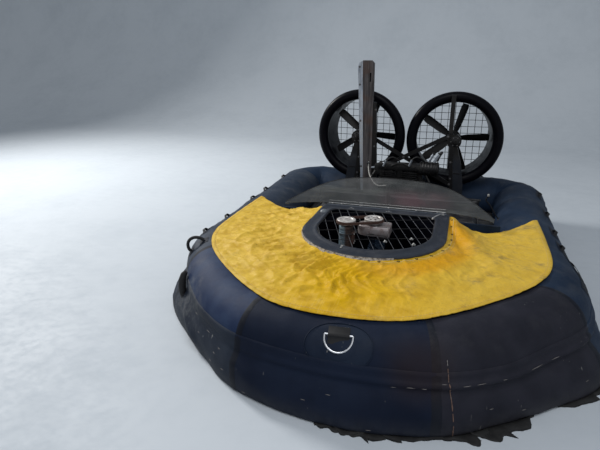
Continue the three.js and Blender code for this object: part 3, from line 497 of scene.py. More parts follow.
# %% Mould
class Mould:
    """Gathers points and faces of one piece."""

    def __init__(self, matrix=None):
        self.points = []
        self.faces = []
        self.which = []
        self.matrix = matrix or Matrix.Identity(4)

    def add(self, points, faces, which=0, place=None):
        base = len(self.points)
        turn = self.matrix @ (place or Matrix.Identity(4))
        self.points += [turn @ Vector(p) for p in points]
        self.faces += [[base + i for i in face] for face in faces]
        self.which += [which] * len(faces)

    def grid(self, rows, around=False, along=False, which=0, place=None, ends=False):
        """A skin over rows of points. around closes each row, along joins the last row to the first."""
        n, m = len(rows[0]), len(rows)
        faces = []
        for i in range(m if along else m - 1):
            for j in range(n if around else n - 1):
                a, b = i * n, ((i + 1) % m) * n
                faces.append((a + j, a + (j + 1) % n, b + (j + 1) % n, b + j))
        if ends:
            faces.append(list(range(n))[::-1])
            faces.append([(m - 1) * n + j for j in range(n)])
        self.add([p for row in rows for p in row], faces, which, place)

    def bar(self, path, radius, sides=10, closed=False, which=0, place=None):
        """A round bar along a path. The radius may be a list, one value for each point."""
        path = [Vector(p) for p in path]
        count = len(path)
        rows = []
        side = None
        for i, at in enumerate(path):
            before = path[i - 1] if closed or i else at
            after = path[(i + 1) % count] if closed or i < count - 1 else at
            ahead = (after - before).normalized()
            if side is None:
                side = (ahead.cross(Vector(UP)) if abs(ahead.z) < 0.9 else ahead.orthogonal()).normalized()
            side = (side - ahead * side.dot(ahead)).normalized()
            up = side.cross(ahead)
            r = radius[i] if isinstance(radius, (list, tuple)) else radius
            rows.append([at + side * (r * cos(a)) + up * (r * sin(a)) for a in angles(sides)])
        self.grid(rows, around=True, along=closed, which=which, place=place, ends=not closed)

    def turned(self, profile, segments=48, which=0, place=None, closed=False):
        """A profile of (radius, height) turned about the local Z axis."""
        rows = [[(r * cos(a), r * sin(a), h) for r, h in profile] for a in angles(segments)]
        self.grid(rows, around=closed, along=True, which=which, place=place)

    def block(self, low, high, bevel=0.002, which=0, place=None):
        """A block with rounded edges."""
        shape = bmesh.new()
        bmesh.ops.create_cube(shape, size=1.0)
        size = Vector(high) - Vector(low)
        middle = (Vector(high) + Vector(low)) / 2
        for v in shape.verts:
            v.co = v.co * size + middle
        bmesh.ops.bevel(shape, geom=shape.edges[:], offset=bevel, segments=2, affect="EDGES",
                        profile=0.6)
        shape.verts.index_update()
        self.add([v.co for v in shape.verts], [[v.index for v in f.verts] for f in shape.faces],
                 which, place)
        shape.free()

    def slab(self, outline, low, high, bevel=0.002, which=0, place=None):
        """A flat outline raised into a slab with chamfered rims."""
        middle = sum(outline, vec(0, 0)) / len(outline)
        small = [p + (middle - p).normalized() * bevel for p in outline]
        rims = ((small, low), (outline, low + bevel), (outline, high - bevel), (small, high))
        self.grid([[(*p, z) for p in rim] for rim, z in rims], True, which=which, place=place, ends=True)

    def bolt(self, at, axis, radius=0.006, height=0.005, which=0):
        """A hexagon head on a washer, pointing along axis."""
        turn = Vector(axis).to_track_quat("Z", "Y").to_matrix().to_4x4()
        place = shift(*at) @ turn
        washer, rim = radius * 1.5, height * 0.25
        head = [(radius * 0.98, rim), (radius, height * 0.9), (radius * 0.86, height), (0, height)]
        self.turned([(0, 0), (washer, 0), (washer, rim), (0, rim)], 20, which, place)
        self.turned(head, 6, which, place)

    def bolts(self, places, axis, radius, height, which=0):
        for at in places:
            self.bolt(at, axis, radius, height, which)

    def piece(self, name, materials, body="hull", slot=None, replaces=(), sharp=40):
        mesh = bpy.data.meshes.new(name)
        mesh.from_pydata([tuple(p) for p in self.points], [], self.faces)
        materials = materials if isinstance(materials, (list, tuple)) else [materials]
        for material in materials:
            mesh.materials.append(material)
        mesh.polygons.foreach_set("material_index", self.which)
        mesh.shade_smooth()
        mesh.set_sharp_from_angle(angle=radians(sharp))
        made = bpy.data.objects.new(name, mesh)
        SCENE.collection.objects.link(made)
        if body:
            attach(made, body)
        if replaces:
            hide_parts(*replaces)
        return made


def closed_mesh(made):
    """Merges what coincides and turns all faces outward."""
    shape = bmesh.new()
    shape.from_mesh(made.data)
    bmesh.ops.remove_doubles(shape, verts=shape.verts[:], dist=1e-5)
    bmesh.ops.recalc_face_normals(shape, faces=shape.faces[:])
    shape.to_mesh(made.data)
    shape.free()
    return made


print("a mould can hold grids, bars, turned profiles, blocks, slabs and bolts")

# %% [markdown]
# A floor under everything, with a softly curved rise behind it, so that no horizon line cuts the picture. It
# rides on no body, so it is not part of the craft.

# %% Ground
ground = Mould()
profile = [(-14.0, 0.0), (4.5, 0.0)]
for k in range(1, 17):
    a = pi / 2 * k / 16
    profile.append((4.5 + 3.0 * sin(a), 3.0 * (1 - cos(a))))
profile.append((7.5, 9.0))
ground.grid([[(x, y, z) for y, z in profile] for x in (-16.0, 16.0)])
floor = ground.piece("studio_floor", FLOOR, body=None)
print("floor faces", len(floor.data.polygons))

# %% [markdown]
# The hull's plan is a short list of corners, port half only. A centripetal Catmull-Rom curve runs
# through them: it passes through every corner and, unlike a uniform one, it doesn't loop where
# short and long spans meet. Stations every 18 mm carry the tube and the skirt. An old soft hull
# doesn't stand true, so the corners are also set in or out a few centimetres, each side by itself.

# %% Plan of the hull
# x, y, how far the hem stands out; the last value names a seam
PLAN = [
    (0.39, -1.31, 0.065, "bow"), (0.6, -1.19, 0.055, ""), (0.78, -1.01, 0.055, ""),
    (0.92, -0.78, 0.05, "shoulder"), (1.0, -0.5, 0.04, ""), (1.0, -0.2, 0.04, ""), (1.0, 0.3, 0.04, ""),
    (1.0, 0.85, 0.04, ""), (1.0, 1.155, 0.04, "quarter"), (0.785, 1.37, 0.04, ""), (0.4, 1.37, 0.04, ""),
]
BOW_Y = -1.345
TUBE_RX = 0.175
TUBE_RZ = 0.15
TUBE_Z = 0.2
TUBE_TOP = TUBE_Z + TUBE_RZ
STATION = 0.018

# the craft has settled unevenly: how far each corner of PLAN stands out, and how much its hem does
PORT_SET = [(0.0, -0.02), (0.008, -0.022), (0.004, 0.008), (0.036, 0.045), (0.02, 0.02)]
STARBOARD_SET = [(-0.03, -0.036), (-0.042, -0.04), (-0.05, -0.02), (-0.04, 0.024), (-0.008, 0.0)]


def uneven_loop():
    """The closed loop of corners, each moved along the bisector of its neighbours."""
    sides = []
    for sign, settled in ((1, PORT_SET), (-1, STARBOARD_SET)):
        old = [(sign * x, y, flare) for x, y, flare, _ in PLAN]
        side = list(old)
        for k, (move, hem) in enumerate(settled):
            x, y, flare = old[k]
            before = old[k - 1] if k else (0.0, BOW_Y)
            run = vec(old[k + 1][0] - before[0], old[k + 1][1] - before[1]).normalized()
            side[k] = (x + sign * run.y * move, y - sign * run.x * move, flare + hem)
        sides.append(side)
    return [(0.0, BOW_Y, 0.065)] + sides[0] + sides[1][::-1]


def between(u, t0, t1, a, b):
    """The point at u on the line that is at a when u is t0 and at b when it is t1."""
    return ((t1 - u) * a + (u - t0) * b) / (t1 - t0)


def smooth_closed(corners, step):
    """Points of a closed curve through the corners, and where each corner falls."""
    count = len(corners)
    points, marks = [], []
    for k in range(count):
        p = [np.array(corners[(k + j) % count]) for j in (-1, 0, 1, 2)]
        gaps = [np.linalg.norm((b - a)[:2]) for a, b in zip(p, p[1:])]
        t = [0.0]
        for gap in gaps:
            t.append(t[-1] + gap ** 0.5)
        marks.append(len(points))
        for u in np.linspace(t[1], t[2], max(2, ceil(gaps[1] / step)), endpoint=False):
            a = [between(u, t[j], t[j + 1], p[j], p[j + 1]) for j in range(3)]
            b = [between(u, t[j], t[j + 2], a[j], a[j + 1]) for j in range(2)]
            points.append(between(u, t[1], t[2], *b))
    return np.array(points), marks


CORNERS = uneven_loop()
LINE, MARKS = smooth_closed(CORNERS, STATION)
STATIONS = len(LINE)
ALONG = np.roll(LINE, -1, 0)[:, :2] - np.roll(LINE, 1, 0)[:, :2]
ALONG /= np.linalg.norm(ALONG, axis=1)[:, None]
OUT = np.stack([ALONG[:, 1], -ALONG[:, 0]], 1)
SEAM_AT = {}
for k, (_, _, _, seam) in enumerate(PLAN):
    if seam:
        SEAM_AT[seam + "_port"] = MARKS[1 + k]
        SEAM_AT[seam + "_starboard"] = MARKS[len(CORNERS) - 1 - k]


def station_at(x, y):
    """The station nearest a place on the plan."""
    return int(np.argmin(((LINE[:, :2] - np.array([x, y])) ** 2).sum(1)))


def outward(i, rise=0.0):
    """The direction out of the hull at a station, with a rise."""
    return vec(*OUT[i % STATIONS], rise)


def round_tube(i, angle):
    """The direction out of the air tube at a station and an angle up from its widest line."""
    nx, ny = OUT[i % STATIONS]
    return vec(nx * cos(angle), ny * cos(angle), sin(angle))


print("stations", STATIONS, "seams", SEAM_AT)

# %% [markdown]
# Cloth under air pressure isn't a perfect tube. Broad soft swells come from uneven tension, small
# puckers gather on the inside of each bend, and drag folds run down the skirt. All of it is noise
# that moves points along the surface's own normal, so seams stay joined from panel to panel.

# %% Swells and folds
def swell(p, size, height, seed=0.0):
    return waver(p[0] / size + seed, p[1] / size, p[2] / size) * height


def ridge(n, narrow, sharp):
    """1 where a noise passes through zero, falling off on both sides."""
    return (1 - min(1.0, abs(n) * narrow)) ** sharp


def crease(p, size, height, seed=0.0, sharp=5.0):
    """A narrow raised line along the zeros of the noise."""
    return ridge(waver(p[0] / size + seed, p[1] / size - seed, p[2] / size), 2, sharp) * height


def air_swell(p):
    """Broad and small swells of the blown-up hull."""
    return swell(p, 0.33, 0.0065) + swell(p, 0.1, 0.0022, 7.0)


def tube_crease(p):
    return crease(p, 0.3, 0.0035, 3.0, 8.0)


def bend_at(i):
    """How tightly the plan turns at a station, in radians per metre."""
    ahead = ALONG[(i + 3) % STATIONS]
    behind = ALONG[(i - 3) % STATIONS]
    turn = atan2(behind[0] * ahead[1] - behind[1] * ahead[0], float(behind @ ahead))
    return turn / (6 * STATION)


TUBE_SIDES = 48
TUBE_SLACK = 0.002
TUBE_ANGLES = angles(TUBE_SIDES)


def tube_row(i):
    (x, y, _), (nx, ny) = LINE[i], OUT[i]
    bend = clamp(bend_at(i) / 2.5)
    row = []
    for a in TUBE_ANGLES:
        c, s = cos(a), sin(a)
        offset = -TUBE_RX + TUBE_RX * c
        p = vec(x + nx * offset, y + ny * offset, TUBE_Z + TUBE_RZ * s)
        inside = max(0.0, -c)
        pucker = sin(i * 1.9 + noise.noise(p * 4) * 3)
        push = air_swell(p) + bend * inside ** 2 * pucker * 0.0035
        push += tube_crease(p) * max(0.0, s * 0.5 + 0.5)
        row.append(p + round_tube(i, a) * (push - TUBE_SLACK))
    return row


TUBE_ROWS = [tube_row(i) for i in range(STATIONS)]
print("tube points", STATIONS * TUBE_SIDES)

# %% [markdown]
# The skirt hangs from a bead on the tube's widest line. Its wall falls outward to the hem, turns
# under where it touches the ground and climbs back to the tube's underside, so the craft looks
# right from below too. The section is a list of offsets and heights; the hem's share follows the
# flare, which is greatest at the bow.

# %% Skirt
# offset, share of the hem's flare, height, how far cloth may wander there
SKIRT = [
    (-0.012, 0.0, 0.237, 0.0), (-0.003, 0.0, 0.2352, 0.0), (0.0004, 0.0, 0.22, 0.0),
    (0.002, 0.0, 0.205, 0.0), (0.01, 0.0, 0.198, 0.0), (0.017, 0.0, 0.191, 0.1), (0.017, 0.0, 0.181, 0.2),
    (0.008, 0.03, 0.173, 0.3), (0.005, 0.13, 0.161, 0.6), (0.013, 0.26, 0.142, 0.8),
    (0.016, 0.38, 0.124, 1.0), (0.017, 0.5, 0.106, 1.0), (0.016, 0.62, 0.088, 1.0),
    (0.014, 0.72, 0.07, 1.0), (0.011, 0.82, 0.052, 1.0), (0.007, 0.9, 0.036, 0.9),
    (0.003, 0.97, 0.021, 0.8), (0.001, 1.0, 0.01, 0.7), (-0.003, 1.0, 0.0035, 0.6),
    (-0.012, 1.0, 0.0015, 0.5), (-0.026, 1.0, 0.003, 0.5), (-0.04, 0.95, 0.012, 0.4),
    (-0.046, 0.75, 0.032, 0.4), (-0.05, 0.45, 0.056, 0.3), (-0.058, 0.15, 0.078, 0.0),
    (-0.07, 0.0, 0.088, 0.0),
]


# rows of that list: the groove under the bead, the first that hangs free, the first on the ground's
# inner side, and the low ones that a wrinkle may lift off the ground
GROOVE = range(4, 8)
FREE = 8
INNER_FROM = 21
LIFTED = range(15, 22)


def drag(i, z):
    """Long slanting folds that start at the bead and fade before the hem."""
    run = i * STATION
    lean = run * 13.0 + z * 26.0 + 2.2 * waver(run * 1.1, 0.3, 5.0)
    level = waver(run * 0.9, 1.7, 2.0) + 0.25
    band = sin(pi * clamp(z / 0.19))
    x, y, _ = LINE[i]
    corner = 1.0 + 1.2 * exp(-((x + 0.62) / 0.38) ** 2) * (y < -0.5)
    return max(0.0, level) * band * max(0.0, sin(lean)) ** 3 * 0.011 * corner


def skirt_row(i):
    (x, y, flare), (nx, ny) = LINE[i], OUT[i]
    row = []
    # the bead shows least to starboard, where the cloth has settled flat
    bead = 0.35 + 0.25 * clamp((x + 0.5) / 0.3) + 0.4 * clamp((x - 0.15) / 0.3)
    for k, (offset, share, z, loose) in enumerate(SKIRT):
        if k in GROOVE:
            straight = 0.002
            groove = max(0.0, 0.6 - bead) * 0.03 * exp(-((z - 0.19) / 0.011) ** 2)
            offset = straight + (offset - straight) * bead - groove
        o = offset + flare * share
        p = vec(x + nx * o, y + ny * o, z)
        push = 0.0
        if k < FREE:
            fade = 1 - loose
            push = fade * air_swell(p) + fade * tube_crease(p) * 0.5
        if loose and k < INNER_FROM:
            push += loose * (swell(p, 0.26, 0.014, 11.0) + swell(p, 0.075, 0.004, 4.0) + drag(i, z))
        lift = 0.0
        if k in LIFTED:
            lift = max(0.0, swell(p, 0.12, 0.006, 21.0))
        row.append(p + vec(nx * push, ny * push, lift))
    return row


SKIRT_ROWS = [skirt_row(i) for i in range(STATIONS)]
print("skirt points", STATIONS * len(SKIRT))

# %% [markdown]
# The rings are cut into the same six panels as the solids, and each panel stands for its node. A
# panel's last row is the next one's first, so no gap opens at a seam.

# %% Hull panels
def stations_between(first, last):
    stop = last if last > first else last + STATIONS
    return [i % STATIONS for i in range(first, stop + 1)]


# name, first seam, last seam, tube cloth, slot
PANELS = [
    ("bow", "bow_starboard", "bow_port", BOW_NAVY, "hull_navy"),
    ("corner_port", "bow_port", "shoulder_port", CHARCOAL, "hull_charcoal"),
    ("side_port", "shoulder_port", "quarter_port", REAR_NAVY, "hull_charcoal"),
    ("stern", "quarter_port", "quarter_starboard", REAR_NAVY, "hull_charcoal"),
    ("side_starboard", "quarter_starboard", "shoulder_starboard", DUST_AND_SHEEN_NAVY, "hull_navy"),
    # the starboard corner's cloth is painted lighter for the light on it
    ("corner_starboard", "shoulder_starboard", "bow_starboard", LIT_NAVY, "hull_navy"),
]
for name, first, last, cloth, slot in PANELS:
    span = stations_between(SEAM_AT[first], SEAM_AT[last])
    skin = Mould()
    skin.grid([TUBE_ROWS[i] for i in span], around=True, ends=True)
    closed_mesh(skin.piece(f"air_tube_{name}", cloth, slot=slot, replaces=[f"tube_{name}"], sharp=80))
    wall = Mould()
    wall.grid([SKIRT_ROWS[i] for i in span])
    skirt_cloth = NAVY_SKIRT if name.endswith("starboard") else cloth
    wall.piece(f"skirt_panel_{name}", skirt_cloth, slot="skirt", replaces=[f"skirt_{name}"], sharp=80)
    print(name, "stations", len(span))

# %% [markdown]
# A taped seam crosses the hull at each panel joint. It is a strip of the same skin lifted a
# millimetre and a half, from the deck's edge down to the hem. The two bow seams are the ones that
# show most: a thick lap to starboard and a worn pale line to port.

# %% Seam tapes
# rows of the skirt's section, from under the bead down to the hem
TAPED = range(2, 19)


def finer(points, parts):
    """The same line with more points on each of its stretches."""
    return [a.lerp(b, j / parts) for a, b in zip(points, points[1:]) for j in range(parts)]


def outer_line(i, height):
    """From the tube's crown over its shoulder, down the skirt to the hem, as one line."""
    i = i % STATIONS
    crown, waist = TUBE_SIDES // 4 + 1, 2
    line = [TUBE_ROWS[i][k] + round_tube(i, TUBE_ANGLES[k]) * height for k in range(crown, waist, -1)]
    out = outward(i, 0.12).normalized() * height
    return line + [SKIRT_ROWS[i][k] + out for k in TAPED]


tapes = Mould()
for seam, at in SEAM_AT.items():
    lapped = seam == "bow_starboard"
    tall = 0.0026 if lapped else 0.0014
    across = (0, 1, 2) if lapped else (-1, 0, 1)
    tapes.grid([outer_line(at + w, h) for w, h in zip(across, (0.0002, tall, 0.0002))])
tapes.piece("seam_tapes", TAPE, slot="hull_charcoal", sharp=60)


def leaning_line(at, shift_top, shift_hem, height):
    """The seam's line, moved along the hull more and more towards the hem."""
    count = len(outer_line(at, height))
    line = []
    for k in range(count):
        s = shift_top + (shift_hem - shift_top) * max(0.0, (k - 10) / (count - 11))
        a, b = outer_line(at + int(s), height)[k], outer_line(at + int(s) + 1, height)[k]
        line.append(a.lerp(b, s - int(s)))
    return line


# brown threads show where the seam has worn through, which is where a slow noise is high
worn = Mould()
port_line = finer(leaning_line(SEAM_AT["bow_port"], 2.2, 3.4, 0.0012), 4)
stretch = []
for k, p in enumerate(port_line):
    wear = waver(k * 0.23, 2.0, 0.0)
    if k > 40 and wear > -0.25:
        stretch.append((p, 0.0014 + 0.0026 * max(0.0, wear)))
    else:
        if len(stretch) > 2:
            worn.bar([q for q, _ in stretch], [r for _, r in stretch], 6, which=1)
        stretch = []
for z in (0.268, 0.262, 0.206, 0.176, 0.15, 0.128):
    k = min(range(2, len(port_line) - 3), key=lambda k: abs(port_line[k].z - z))
    worn.bar(port_line[k - 1:k + 2], [0.0006, 0.0016, 0.0005], 6)


def scratch(x, y, k, length, thick=0.001):
    """A pale line rubbed along the hull at row k of the skirt."""
    i = station_at(x, y)
    steps = max(3, int(length / STATION * 3))
    path = []
    for j in range(steps + 1):
        s = j / 3
        a, b = SKIRT_ROWS[(i + int(s)) % STATIONS][k], SKIRT_ROWS[(i + int(s) + 1) % STATIONS][k]
        wander = vec(0, 0, 0.0016 * waver(s * 0.9, x * 9, y * 9))
        path.append(a.lerp(b, s - int(s)) + outward(i, 0.3) * 0.0006 + wander)
    radii = [thick * (0.25 + 0.75 * sin(pi * j / steps)) for j in range(steps + 1)]
    worn.bar(path, radii, 5)


# x, y on the plan; row of the skirt's section; length
SCRATCHES = [
    (0.47, -1.27, 5, 0.03), (0.52, -1.24, 5, 0.04), (0.6, -1.19, 5, 0.02), (0.7, -1.1, 5, 0.07),
    (0.78, -1.01, 5, 0.05), (0.3, -1.335, 6, 0.03), (0.345, -1.325, 6, 0.02), (0.24, -1.34, 7, 0.012),
    (0.55, -1.22, 12, 0.012), (0.66, -1.14, 14, 0.015), (0.86, -0.88, 13, 0.02), (0.16, -1.345, 16, 0.012),
    (-0.32, -1.31, 16, 0.02), (-0.5, -1.22, 11, 0.02), (-0.56, -1.17, 8, 0.03), (-0.62, -1.12, 10, 0.02),
    (-0.66, -1.08, 6, 0.03), (-0.7, -1.02, 15, 0.02), (-0.44, -1.26, 13, 0.02), (0.02, -1.345, 10, 0.01),
    (-0.47, -1.24, 9, 0.012), (-0.53, -1.2, 14, 0.016), (-0.08, -1.345, 12, 0.01), (0.4, -1.3, 4, 0.02),
]
for scratched in SCRATCHES:
    scratch(*scratched)
worn.piece("scuffs_and_worn_seam", [SCUFF, BROWN], slot="hull_charcoal")
print("seams", len(SEAM_AT), "scuffs", len(SCRATCHES))

# %% [markdown]
# The bow deck is one sheet of cloth, pulled tight from the collar over the crown of the air tubes.
# Its lines across are the same as the solid's. The height comes from what carries it: the collar
# inside, the tube outside, and a slack belly between, deepest in the two rear wings.

# %% Deck form
# inner x, y; fold x, y; outer x, y of the port half, from the rear wing to the bow
DECK_LINES = [
    (0.36, 0.035, 0.59, -0.01, 0.856, 0.215), (0.36, -0.16, 0.6, -0.16, 0.862, -0.12),
    (0.36, -0.36, 0.6, -0.385, 0.848, -0.47), (0.333, -0.498, 0.56, -0.575, 0.77, -0.69),
    (0.255, -0.615, 0.43, -0.745, 0.61, -0.9), (0.138, -0.693, 0.25, -0.88, 0.4, -1.1),
    (0.075, -0.712, 0.125, -0.95, 0.23, -1.195), (0.0, -0.72, 0.0, -0.97, 0.0, -1.222),
]
DECK_ACROSS = 68
DECK_PER_LINE = 26
DECK_INNER_Z = 0.3815
DECK_CLEAR = 0.004


def offset_from_line(xy):
    """Signed distance out from the hull's reference line, for an array of points."""
    gap = xy[:, None, :] - LINE[None, :, :2]
    near = np.argmin((gap ** 2).sum(2), 1)
    return ((xy - LINE[near, :2]) * OUT[near]).sum(1)


def tube_height(offset):
    """Height of the tube's upper surface at an offset."""
    share = np.clip((offset + TUBE_RX) / TUBE_RX, -0.999, 0.999)
    return TUBE_Z + TUBE_RZ * np.sqrt(1 - share ** 2)


def open_spline(points, per_span):
    """A smooth line through points, ends included."""
    points = [np.array(p) for p in points]
    padded = [2 * points[0] - points[1]] + points + [2 * points[-1] - points[-2]]
    out = []
    for k in range(1, len(padded) - 2):
        p0, p1, p2, p3 = padded[k - 1:k + 3]
        for u in np.linspace(0, 1, per_span, endpoint=False):
            out.append(0.5 * (2 * p1 + (p2 - p0) * u + (2 * p0 - 5 * p1 + 4 * p2 - p3) * u ** 2
                              + (3 * p1 - p0 - 3 * p2 + p3) * u ** 3))
    out.append(points[-1])
    return out


# the pulled fold that runs from the collar's rear port corner round to the bow
CREST = [(0.357, 0.03), (0.412, -0.15), (0.458, -0.263), (0.528, -0.458), (0.6, -0.64)]


def from_crest(x, y):
    """Distance to port of the fold's line, and the share of its length."""
    best = (9.0, 1.0)
    for k, ((ax, ay), (bx, by)) in enumerate(zip(CREST, CREST[1:])):
        dx, dy = bx - ax, by - ay
        t = clamp(((x - ax) * dx + (y - ay) * dy) / (dx * dx + dy * dy))
        gap = hypot(x - ax - dx * t, y - ay - dy * t)
        side = -1 if dx * (y - ay) - dy * (x - ax) < 0 else 1
        if gap < abs(best[0]):
            best = (gap * side, (k + t) / (len(CREST) - 1))
    return best


def ends_weight(turn, steep):
    """1 at the rear edge of both wings, falling to 0 along the sheet."""
    return max(0.0, 1 - turn * steep) + max(0.0, 1 - (1 - turn) * steep)


def deck_wrinkle(x, y, u, turn):
    """Height of the creases at a point; u runs from collar to hem, turn from port to starboard."""
    angle = atan2(y + 0.36, x)
    reach = hypot(x, y + 0.36)
    p = vec(x, y, 0.0)
    starboard = clamp((0.15 - x) / 0.35)
    bow = clamp((-0.55 - y) / 0.25)
    fade = sin(pi * min(1.0, u * 1.15)) ** 0.7
    warp = noise.noise(p * 5.0) * 0.22
    spoke = waver((angle + warp) * 6.5, reach * 2.0, 3.0)
    thin = waver((angle + warp) * 13.0, reach * 3.5, 8.0)
    strong = 0.25 + 0.75 * starboard * bow
    height = (ridge(spoke, 2.6, 2.2) * 0.017 + ridge(thin, 3.0, 2.5) * 0.008) * strong * fade
    height += crease(p, 0.13, 0.013, 5.0, 7.0) * (0.4 + 0.6 * starboard) * fade
    height += crease(p, 0.06, 0.0045, 9.0, 3.5) * (0.45 + 0.55 * starboard)
    height += swell(p, 0.28, 0.01, 2.0) * fade + swell(p, 0.04, 0.0026, 1.0)
    cell = noise.voronoi(vec(x * 9 + warp, y * 9 - warp, 0.0))[0]
    height += (cell[1] - cell[0]) * -0.006 * (0.4 + 0.6 * starboard) * fade
    beside, on = from_crest(x, y)
    if x > 0.3 and on < 0.999:
        near = min(1.0, u / 0.1) * (1 - on) ** 0.6
        breadth = 0.075 if beside > 0 else 0.032
        height += 0.034 * exp(-(beside / breadth) ** 2) * near
        height -= 0.014 * exp(-((beside + 0.062) / 0.026) ** 2) * near
    return height + ends_weight(turn, 6) * fade * sin(angle * 26 + reach * 9) * 0.006


def deck_rows():
    mirrored = [(-a, b, -c, d, -e, f) for a, b, c, d, e, f in DECK_LINES[-2::-1]]
    lines = open_spline(DECK_LINES + mirrored, DECK_PER_LINE)
    share = np.linspace(0, 1, DECK_ACROSS)
    rows = []
    for r, line in enumerate(lines):
        turn = r / (len(lines) - 1)
        inner, fold, outer = np.array(line).reshape(3, 2)
        bezier = (2 * fold - (inner + outer) / 2 + fold) / 2
        xy = (np.outer((1 - share) ** 2, inner) + np.outer(2 * share * (1 - share), bezier)
              + np.outer(share ** 2, outer))
        off = offset_from_line(xy)
        on_tube = off > -TUBE_RX
        crown = max(8, np.argmax(on_tube) if on_tube.any() else DECK_ACROSS - 1)
        rear = ends_weight(turn, 5.0)
        depth = 0.055 if inner[0] > 0 else 0.018
        row = []
        for k, (u, (x, y)) in enumerate(zip(share, xy)):
            if k <= crown:
                w = k / crown
                belly = sin(pi * w ** 0.85) * (0.008 + depth * rear ** 1.5)
                z = DECK_INNER_Z + (TUBE_TOP + DECK_CLEAR - DECK_INNER_Z) * w - belly
            else:
                z = float(tube_height(off[k])) + DECK_CLEAR
            rub = 1.0 if k <= crown else 0.45
            z += max(-0.01 if u < 0.5 else -0.002, deck_wrinkle(x, y, u, turn) * rub)
            row.append(vec(x, y, z))
        rows.append(row)
    return rows


def thicken(made, thickness, offset=-1):
    """Gives a sheet its thickness without adding points to the mesh."""
    shell = made.modifiers.new("cloth_thickness", "SOLIDIFY")
    shell.thickness = thickness
    shell.offset = offset


DECK_ROWS = deck_rows()
deck = Mould()
deck.grid(DECK_ROWS)
deck_piece = deck.piece("bow_deck_cloth", YELLOW, slot="deck_yellow", replaces=["bow_deck"], sharp=80)
thicken(deck_piece, 0.0016)

# %% [markdown]
# The sheet was cut as a broad horseshoe from cloth about 1.95 m wide and 1.55 m long, and is stretched over
# the tubes and the collar. Its doubled hems are strips that lie a little above it, along the outer edge and
# along the port side of the collar.

# %% Deck hems
ALL_ROWS = range(len(DECK_ROWS))
PORT_ROWS = range(0, int(len(DECK_ROWS) * 0.46))


def deck_point(r, s):
    """The point on deck line r at a place s across it, counted in points."""
    k = min(DECK_ACROSS - 2, int(s))
    return DECK_ROWS[r][k].lerp(DECK_ROWS[r][k + 1], s - k)


def deck_band(first, last, row_range, height):
    """A strip with a rounded top that lies on the deck between two places across it."""
    shares = [step / 6 for step in range(7)]
    return [[deck_point(r, first + (last - first) * t) + vec(0, 0, 0.0006 + height * sin(pi * t) ** 0.5)
             for t in shares] for r in row_range]


deck_hems = Mould()
deck_hems.grid(deck_band(DECK_ACROSS - 4.2, DECK_ACROSS - 1, ALL_ROWS, 0.002))
deck_hems.grid(deck_band(0.0, 7.6, PORT_ROWS, 0.003))
hem_piece = deck_hems.piece("deck_hems", HEM_YELLOW, slot="deck_yellow", sharp=80)

# %% [markdown]
# Along the collar on the port side the double hem is pierced by small eyelets, and two rows of
# thread hold it. The rear edges of the wings are bound. Eyelets are turned rings and stitches are
# short flat bars; both are gathered in joined meshes because there are hundreds of them.

# %% Eyelets and stitches
EYELET = [(0.0, 0.0004), (0.0034, 0.0004), (0.0036, 0.0016), (0.006, 0.0018), (0.0078, 0.0008), (0.008, 0)]
EYELET_PITCH = 0.088
eyelets = Mould()
spaced = 0.0
previous = deck_point(2, 4.2)
for r in PORT_ROWS:
    here = deck_point(r, 4.2)
    spaced += (here - previous).length
    previous = here
    if spaced > EYELET_PITCH:
        spaced = 0.0
        eyelets.turned(EYELET, 16, place=shift(*(here + vec(0, 0, 0.003))))
eyelets.piece("deck_eyelets", BRASS, slot="guard_wire")

stitches = Mould()
PITCH, LENGTH, RADIUS = 0.011, 0.007, 0.00065


def sew(points, lift):
    """A row of stitches along a line of points."""
    gone = 0.0
    for a, b in zip(points, points[1:]):
        gone += (b - a).length
        if gone >= PITCH:
            gone = 0.0
            ahead = (b - a).normalized() * LENGTH
            at = a + vec(0, 0, lift)
            stitches.bar([at, at + ahead * 0.5 + vec(0, 0, RADIUS), at + ahead], RADIUS, 4)


SEWN = [(ALL_ROWS, DECK_ACROSS - 3.6, 0.0026), (PORT_ROWS, 1.4, 0.003), (PORT_ROWS, 7.0, 0.003)]
for sewn_rows, s, lift in SEWN:
    sew(finer([deck_point(r, s) for r in sewn_rows], 3), lift)
cord = [deck_point(r, 5.0) + vec(0, 0, 0.0034) for r in PORT_ROWS if r > 3]
stitches.bar(cord, 0.0013, 6)
stitches.piece("deck_stitches", THREAD, slot="deck_yellow")
print("stitches", len(stitches.faces) // 10)

# %% [markdown]
# The collar is a stiff rubber plate round the fan opening: straight sides, a round front, a square
# rear with soft corners. Both outlines use the same number of points on each stretch, so a short
# profile can be carried from one to the other, and the inner edge rises to a rolled lip.

# %% Collar
# half width, where the round front's centre lies, rear edge, corner radius
OPENING = (0.3, -0.345, -0.046, 0.055)
COLLAR_EDGE = (0.372, -0.36, 0.04, 0.012)


def towards(first, last, count):
    """Even steps from first towards last, which is left out."""
    return [first + (last - first) * k / count for k in range(count)]


def bow_of(x, y, radius, first, last, count):
    """Points of an arc between two angles, the last one left out."""
    return [vec(x + radius * cos(a), y + radius * sin(a)) for a in towards(first, last, count)]


def round_front(half, centre, rear, corner, parts=(10, 8, 14, 60)):
    """A closed outline, from the middle of the rear edge round by port. parts: points on half the
    rear edge, a corner, a side, the front."""
    back, bend, side, front = parts
    top = rear - corner
    edge = towards(0.0, half - corner, back)
    return ([vec(x, rear) for x in edge]
            + bow_of(half - corner, top, corner, pi / 2, 0, bend)
            + [vec(half, y) for y in towards(top, centre, side)]
            + bow_of(0, centre, half, 0, -pi, front)
            + [vec(-half, y) for y in towards(centre, top, side)]
            + bow_of(corner - half, top, corner, pi, pi / 2, bend)
            + [vec(-x, rear) for x in edge[:0:-1]])


INNER = round_front(*OPENING)
OUTER = round_front(*COLLAR_EDGE)
